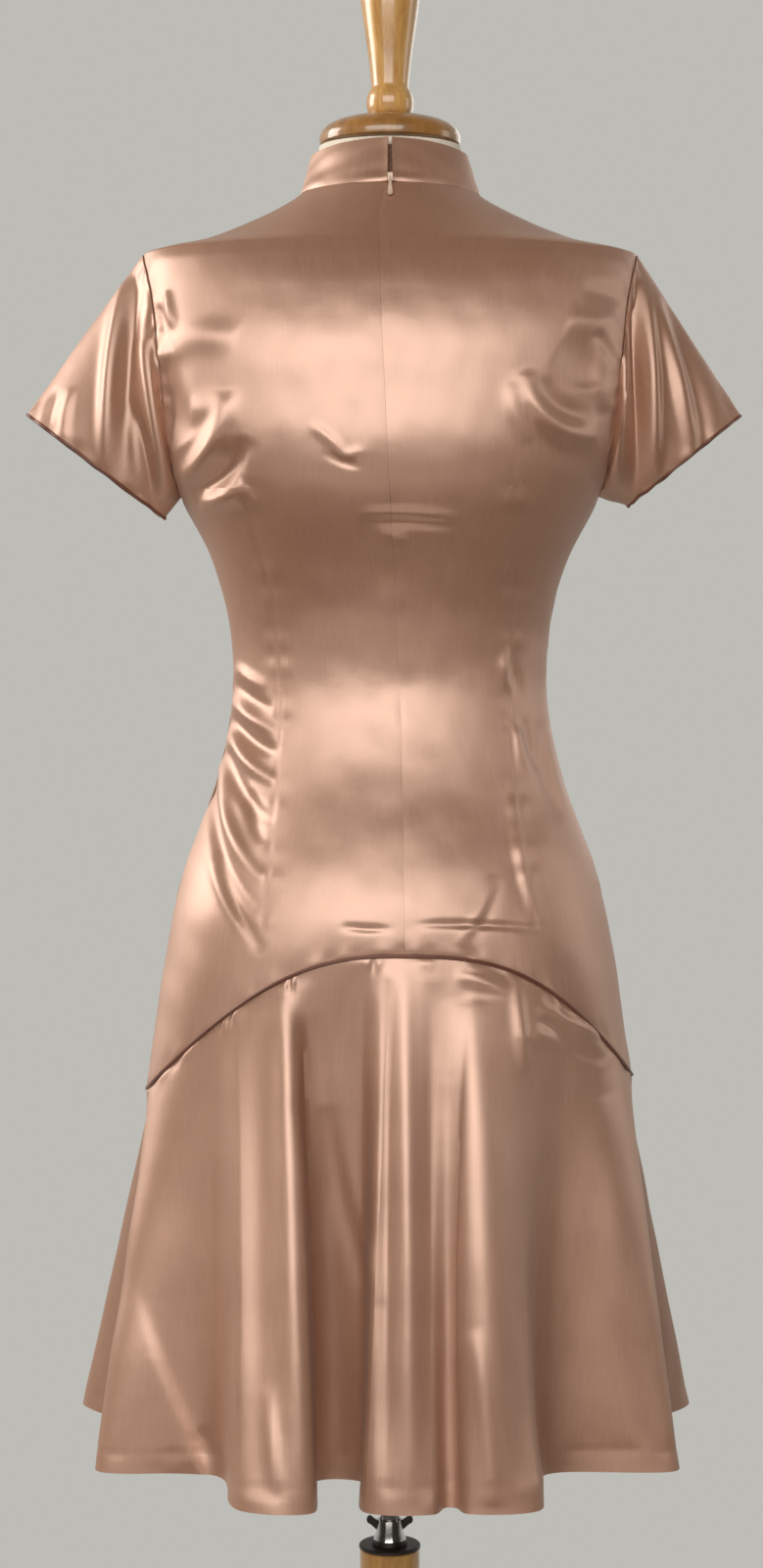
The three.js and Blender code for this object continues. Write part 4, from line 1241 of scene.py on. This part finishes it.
class DRESS_OT_collar(bpy.types.Operator):
    """Makes the two halves of the standing collar, with rounded front corners"""

    bl_idname = "dress.collar"
    bl_label = "Collar"

    def execute(self, context):
        start = math.degrees(math.asin(ZIP_OPENING / 2 / NECK_HALF_WIDTH))
        angles = np.concatenate([np.linspace(start, 170, 80), np.linspace(170.5, 179.2, 14)])
        rows = 16
        for side, name in ((1, "collar_left"), (-1, "collar_right")):
            foot = body_point(angles, neck_z(angles)) + [0, 0, 0.3]
            short = np.where(angles > 90, np.clip(COLLAR_CORNER - np.abs(foot[:, 0]), 0, None), 0)
            height = COLLAR_HEIGHT - COLLAR_CORNER + np.sqrt(COLLAR_CORNER**2 - short**2)
            height -= COLLAR_SIDE_DIP * (foot[:, 0] / NECK_HALF_WIDTH) ** 2
            inward = -foot * [1, 1, 0]
            inward /= np.linalg.norm(inward, axis=1, keepdims=True)
            lean = inward * (COLLAR_LEAN * height / COLLAR_HEIGHT)[:, None]
            top = foot + lean + np.outer(height, [0, 0, 1])
            share = np.linspace(0, 1, rows)[:, None, None]
            points = foot[None] * (1 - share) + top[None] * share
            points[..., 0] *= side
            normals = grid_normals(points) * side
            place = np.linspace(0, COLLAR_HALF_LENGTH, len(angles))[None, :] + np.zeros((rows, 1))
            rise = share[..., 0] * COLLAR_HEIGHT + 0 * place
            swell = 0.35 * undulation(place, rise * 2, 46, 20 + side)
            swell += seam_height(rise, place, 0.3, 0.15)
            turned_edge = np.exp(-((place / 1.9) ** 2))
            seam_bulk = np.exp(-((rise - 3) ** 2) / 8 - (place / 22) ** 2)
            swell += 1.1 * turned_edge + 1.2 * seam_bulk
            points = points + normals * swell[..., None]
            piece = give_thickness(grid_mesh(f"{name}_band", points, normals), COLLAR_WALL)
            finish_piece(piece, "form", material_for("satin"), "satin", name)
        return {"FINISHED"}


class DRESS_OT_zip(bpy.types.Operator):
    """Finishes the zip: its tape, slider and pull tab keep their solid shapes"""

    bl_idname = "dress.zip"
    bl_label = "Zip"

    def execute(self, context):
        for node, slot in (("zip_tape", "zip_tape"), ("zip_slider", "zip_metal"), ("zip_pull", "zip_metal")):
            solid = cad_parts[node]
            solid.data.materials.clear()
            solid.data.materials.append(material_for(slot))
        return {"FINISHED"}


# ---- The form and its stand ----


class Ring(NamedTuple):
    z: float
    half_width: float
    half_depth: float


NECK_Y = -1
FORM_BOTTOM_Z, NECK_TOP_Z = 700, 1461
TORSO_INSET = 9.5  # from the dress's outer surface to the jersey
NECK_RINGS = [Ring(1430, 62, 48), Ring(1445, 58.5, 45.5), Ring(NECK_TOP_Z, 57.5, 45)]


class DRESS_OT_torso(bpy.types.Operator):
    """Makes the smooth jersey-covered torso inside the dress, and its neck"""

    bl_idname = "dress.torso"
    bl_label = "Torso"

    def execute(self, context):
        angles = np.linspace(0, 360, 121)
        hips = [(FORM_BOTTOM_Z, 22), (730, 19), (765, 16), (800, 13), (840, 11)]
        rings = []
        for z, drawn_in in hips:
            ring = body_point(angles, z)
            length = np.linalg.norm(ring[:, :2], axis=1, keepdims=True)
            ring[:, :2] *= (length - drawn_in) / length
            rings.append(ring)
        for level in np.concatenate([np.arange(880, 1360, 16), [1366, 1378, 1388, 1398, 1408, 1420]]):
            ring = body_point(angles, row_z(level, angles))
            length = np.linalg.norm(ring[:, :2], axis=1, keepdims=True)
            ring[:, :2] *= (length - TORSO_INSET) / length
            ring[:, 2] -= 2.5 * np.clip((level - 1340) / 30, 0, 1)
            rings.append(ring)
        turns = np.radians(angles)
        for neck_ring in NECK_RINGS:
            x = neck_ring.half_width * np.sin(turns)
            y = NECK_Y + neck_ring.half_depth * np.cos(turns)
            rings.append(np.column_stack([x, y, np.full(len(turns), neck_ring.z)]))
        points = np.array(rings)
        normals = points * [1, 1, 0]
        piece = grid_mesh("jersey_torso", points, normals, closed_round=True)
        bm = bmesh.new()
        bm.from_mesh(piece.data)
        rims = [edge for edge in bm.edges if edge.is_boundary]
        bmesh.ops.holes_fill(bm, edges=rims, sides=0)
        bmesh.ops.recalc_face_normals(bm, faces=bm.faces[:])
        bm.to_mesh(piece.data)
        bm.free()
        smooth_with_edges(piece, 50)
        finish_piece(piece, "form", material_for("jersey"), "jersey", "torso")
        return {"FINISHED"}


CAP_PROFILE = [
    (0, 0), (50, 0), (54.6, 0.5), (56.8, 2), (57.4, 5), (57, 8.5), (55.4, 12), (52, 15.6), (46.5, 18.6),
    (39, 21), (30, 23.2), (22, 24.8), (10, 25.6), (0, 25.6),
]
FINIAL_PROFILE = [
    (0, 0), (16.6, 0), (17.6, 1.4), (18.8, 5), (19.2, 9.5), (18.8, 14), (17.4, 18), (15.8, 20.4),
    (15.2, 22.4), (15.3, 26), (15.8, 32), (16.8, 41), (18.2, 52), (19.8, 63), (21.4, 74), (22.8, 84), (23.6, 90),
    (23.8, 93), (23, 95.6), (20.8, 97.8), (16, 99.4), (8, 100.3), (0, 100.5),
]
CLAMP_BARREL_RADIUS = 13.5
HUB_RADIUS, HUB_BOTTOM_Z, HUB_TOP_Z, BORE_RADIUS, BORE_FLOOR_Z = 24.5, 50, 317, 8.6, 70


class DRESS_OT_neck(bpy.types.Operator):
    """Makes the turned wooden neck cap and finial"""

    bl_idname = "dress.neck"
    bl_label = "Neck cap and finial"

    def execute(self, context):
        base = NECK_TOP_Z + 0.3
        cap = turned_mesh("turned_neck_cap", [(r, z + base) for r, z in CAP_PROFILE], (0, NECK_Y), 0.88)
        finish_piece(cap, "form", material_for("wood_dark"), "wood", "neck_cap")
        foot = base + 25.7
        finial = turned_mesh("turned_finial", [(r, z + foot) for r, z in FINIAL_PROFILE], (0, NECK_Y))
        finish_piece(finial, "form", material_for("wood"), "wood", "finial")
        return {"FINISHED"}


class DRESS_OT_stand(bpy.types.Operator):
    """Makes the pole, the hub with its dark rim, the clamp and the three legs"""

    bl_idname = "dress.stand"
    bl_label = "Stand"

    def execute(self, context):
        pole = turned_mesh(
            "chromed_pole", [(0, 130), (7.2, 130), (8, 130.8), (8, 698.9), (7.2, 699.7), (0, 699.7)]
        )
        finish_piece(pole, "mast", material_for("chrome"), "chrome", "pole")
        r, top = HUB_RADIUS, HUB_TOP_Z
        hub = turned_mesh(
            "turned_hub",
            [
                (0, HUB_BOTTOM_Z), (r - 8, HUB_BOTTOM_Z), (r - 3, HUB_BOTTOM_Z + 2),
                (r - 0.6, HUB_BOTTOM_Z + 6), (r, HUB_BOTTOM_Z + 10), (r, top - 0.8), (r - 0.8, top), (BORE_RADIUS, top),
                (BORE_RADIUS, BORE_FLOOR_Z), (0, BORE_FLOOR_Z),
            ],
        )
        finish_piece(hub, "base", material_for("wood"), "wood", "hub")
        low, high, wide = top + 0.3, top + 3.3, r + 0.7
        rim = turned_mesh(
            "hub_rim",
            [
                (BORE_RADIUS, low), (wide - 0.4, low), (wide, low + 0.4), (wide, high - 0.8),
                (wide - 0.8, high), (BORE_RADIUS, high), (BORE_RADIUS, low),
            ],
        )
        finish_piece(rim, "base", material_for("black_metal"), "black_metal", "hub_cap")
        for node in ("leg_front", "leg_back_left", "leg_back_right"):
            finish_piece(rounded_copy(node, 2.5), "base", material_for("wood"), "wood", node)
        clamp = rounded_copy("pole_clamp", 0.5)
        finish_piece(clamp, "clamp", material_for("chrome"), "chrome", "pole_clamp")
        clamp.data.materials.append(material_for("black_metal"))
        for face in clamp.data.polygons:
            face.material_index = int(math.hypot(face.center.x, face.center.y) > CLAMP_BARREL_RADIUS * MM)
        return {"FINISHED"}


def rounded_copy(node, radius):
    """A copy of a solid's mesh with its sharp edges rounded, in mm."""
    bm = bmesh.new()
    bm.from_mesh(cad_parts[node].data)
    bmesh.ops.remove_doubles(bm, verts=bm.verts[:], dist=1e-6)
    bmesh.ops.dissolve_limit(bm, angle_limit=math.radians(1), verts=bm.verts[:], edges=bm.edges[:])
    piece = new_object(f"{node}_rounded", bm)
    bevel = piece.modifiers.new("rounding", "BEVEL")
    bevel.width = radius * MM
    bevel.affect = "EDGES"
    bevel.segments = 3
    bevel.profile = 0.5
    bevel.material = -1
    bevel.limit_method = "ANGLE"
    bevel.angle_limit = math.radians(40)
    apply_modifiers(piece)
    smooth_with_edges(piece, 35)
    return piece


# ---- Stage ----

CAMERA_X, CAMERA_Y, CAMERA_Z = 0.0068, 2.2, 0.992
CAMERA_PITCH = 1.25  # degrees below level
CAMERA_LENS = 61.9
FLOOR_RADIUS = 0.93


class Softbox(NamedTuple):
    name: str
    place: tuple
    aim: tuple
    width: float
    height: float
    power: float


SOFTBOXES = [
    Softbox("key behind the camera", (0.5, 3.4, 2.27), (0, 0, 1.2), 3.5, 1.6, 108),
    Softbox("low bounce", (0.4, 3.2, 0.3), (0, 0, 1.1), 3.2, 0.5, 9),
    Softbox("fill before the dress", (-1.6, -3.2, 2.0), (0, 0, 1.0), 2.4, 1.8, 20),
    Softbox("left side", (3.0, -0.5, 2.2), (0, 0, 0.95), 1.5, 1.7, 84),
    Softbox("right side", (-3.1, -0.3, 1.7), (0, 0, 1.0), 1.0, 1.6, 12),
]


class DRESS_OT_stage(bpy.types.Operator):
    """Makes the pale floor, the soft light, the backdrop's tone and the camera"""

    bl_idname = "dress.stage"
    bl_label = "Stage"

    def execute(self, context):
        scene = context.scene
        bm = bmesh.new()
        bmesh.ops.create_circle(bm, cap_ends=True, segments=96, radius=FLOOR_RADIUS)
        floor = new_object("floor_disc", bm)
        floor.data.materials.append(material_for("floor"))
        for box in SOFTBOXES:
            lamp = bpy.data.lights.new(box.name, "AREA")
            lamp.shape = "RECTANGLE"
            lamp.size, lamp.size_y = box.width, box.height
            lamp.energy = box.power
            lamp.color = (1, 0.95, 0.89)
            placed = bpy.data.objects.new(box.name, lamp)
            placed.location = box.place
            way = Vector(box.aim) - Vector(box.place)
            placed.rotation_euler = way.to_track_quat("-Z", "Y").to_euler()
            scene.collection.objects.link(placed)
        world = bpy.data.worlds.new("studio")
        world.use_nodes = True
        tree = world.node_tree
        tree.nodes.clear()
        where = add_node(tree, "ShaderNodeTexCoord")
        parts = add_node(tree, "ShaderNodeSeparateXYZ", links={"Vector": where.outputs["Generated"]})
        share = add_node(
            tree, "ShaderNodeMapRange", values={"From Min": -0.75, "From Max": 0.35},
            links={"Value": parts.outputs["Y"]}, interpolation_type="SMOOTHSTEP",
        )
        # What lights the cloth is a room that is darker behind the camera. The camera itself sees a plain
        # pale backdrop all round.
        pale, dark = linear("#bdbcb6"), linear("#322e2a")
        room = colour_ramp(tree, share.outputs["Result"], [(0, pale), (1, dark)])
        light = add_node(tree, "ShaderNodeBackground", links={"Color": room})
        backdrop = add_node(tree, "ShaderNodeBackground", values={"Color": plain(pale)})
        seen = add_node(tree, "ShaderNodeLightPath")
        shown = add_node(
            tree, "ShaderNodeMixShader",
            links={
                0: seen.outputs["Is Camera Ray"], 1: light.outputs["Background"],
                2: backdrop.outputs["Background"],
            },
        )
        add_node(tree, "ShaderNodeOutputWorld", links={"Surface": shown.outputs["Shader"]})
        scene.world = world
        scene.view_settings.view_transform = "Standard"
        camera = bpy.data.cameras.new("camera")
        camera.lens = CAMERA_LENS
        placed = bpy.data.objects.new("camera", camera)
        placed.location = (CAMERA_X, CAMERA_Y, CAMERA_Z)
        placed.rotation_euler = (math.radians(90 - CAMERA_PITCH), 0, math.pi)
        scene.collection.objects.link(placed)
        scene.camera = placed
        return {"FINISHED"}


# ---- Add-on ----


class DRESS_PT_pieces(bpy.types.Panel):
    """Lists the pieces of the dress and its form"""

    bl_label = "Cheongsam"
    bl_idname = "DRESS_PT_pieces"
    bl_space_type = "VIEW_3D"
    bl_region_type = "UI"
    bl_category = "Cheongsam"

    def draw(self, context):
        for group in (context.scene.dress_sizes, context.scene.dress_colours):
            for name in group.__annotations__:
                self.layout.prop(group, name)
        for operator in PIECES:
            self.layout.operator(operator.bl_idname)


PIECES = (
    DRESS_OT_stage,
    DRESS_OT_back,
    DRESS_OT_front,
    DRESS_OT_sleeves,
    DRESS_OT_skirt,
    DRESS_OT_seam_piping,
    DRESS_OT_collar,
    DRESS_OT_zip,
    DRESS_OT_torso,
    DRESS_OT_neck,
    DRESS_OT_stand,
)
CLASSES = (DressSizes, DressColours, *PIECES, DRESS_PT_pieces)


def register():
    for cls in CLASSES:
        bpy.utils.register_class(cls)
    bpy.types.Scene.dress_sizes = bpy.props.PointerProperty(type=DressSizes)
    bpy.types.Scene.dress_colours = bpy.props.PointerProperty(type=DressColours)


def unregister():
    del bpy.types.Scene.dress_colours
    del bpy.types.Scene.dress_sizes
    for cls in reversed(CLASSES):
        bpy.utils.unregister_class(cls)


def main():
    register()
    bpy.ops.dress.stage()
    bpy.ops.dress.back()
    bpy.ops.dress.front()
    bpy.ops.dress.sleeves()
    bpy.ops.dress.skirt()
    bpy.ops.dress.seam_piping()
    bpy.ops.dress.collar()
    bpy.ops.dress.zip()
    bpy.ops.dress.torso()
    bpy.ops.dress.neck()
    bpy.ops.dress.stand()


if __name__ == "__main__":
    main()
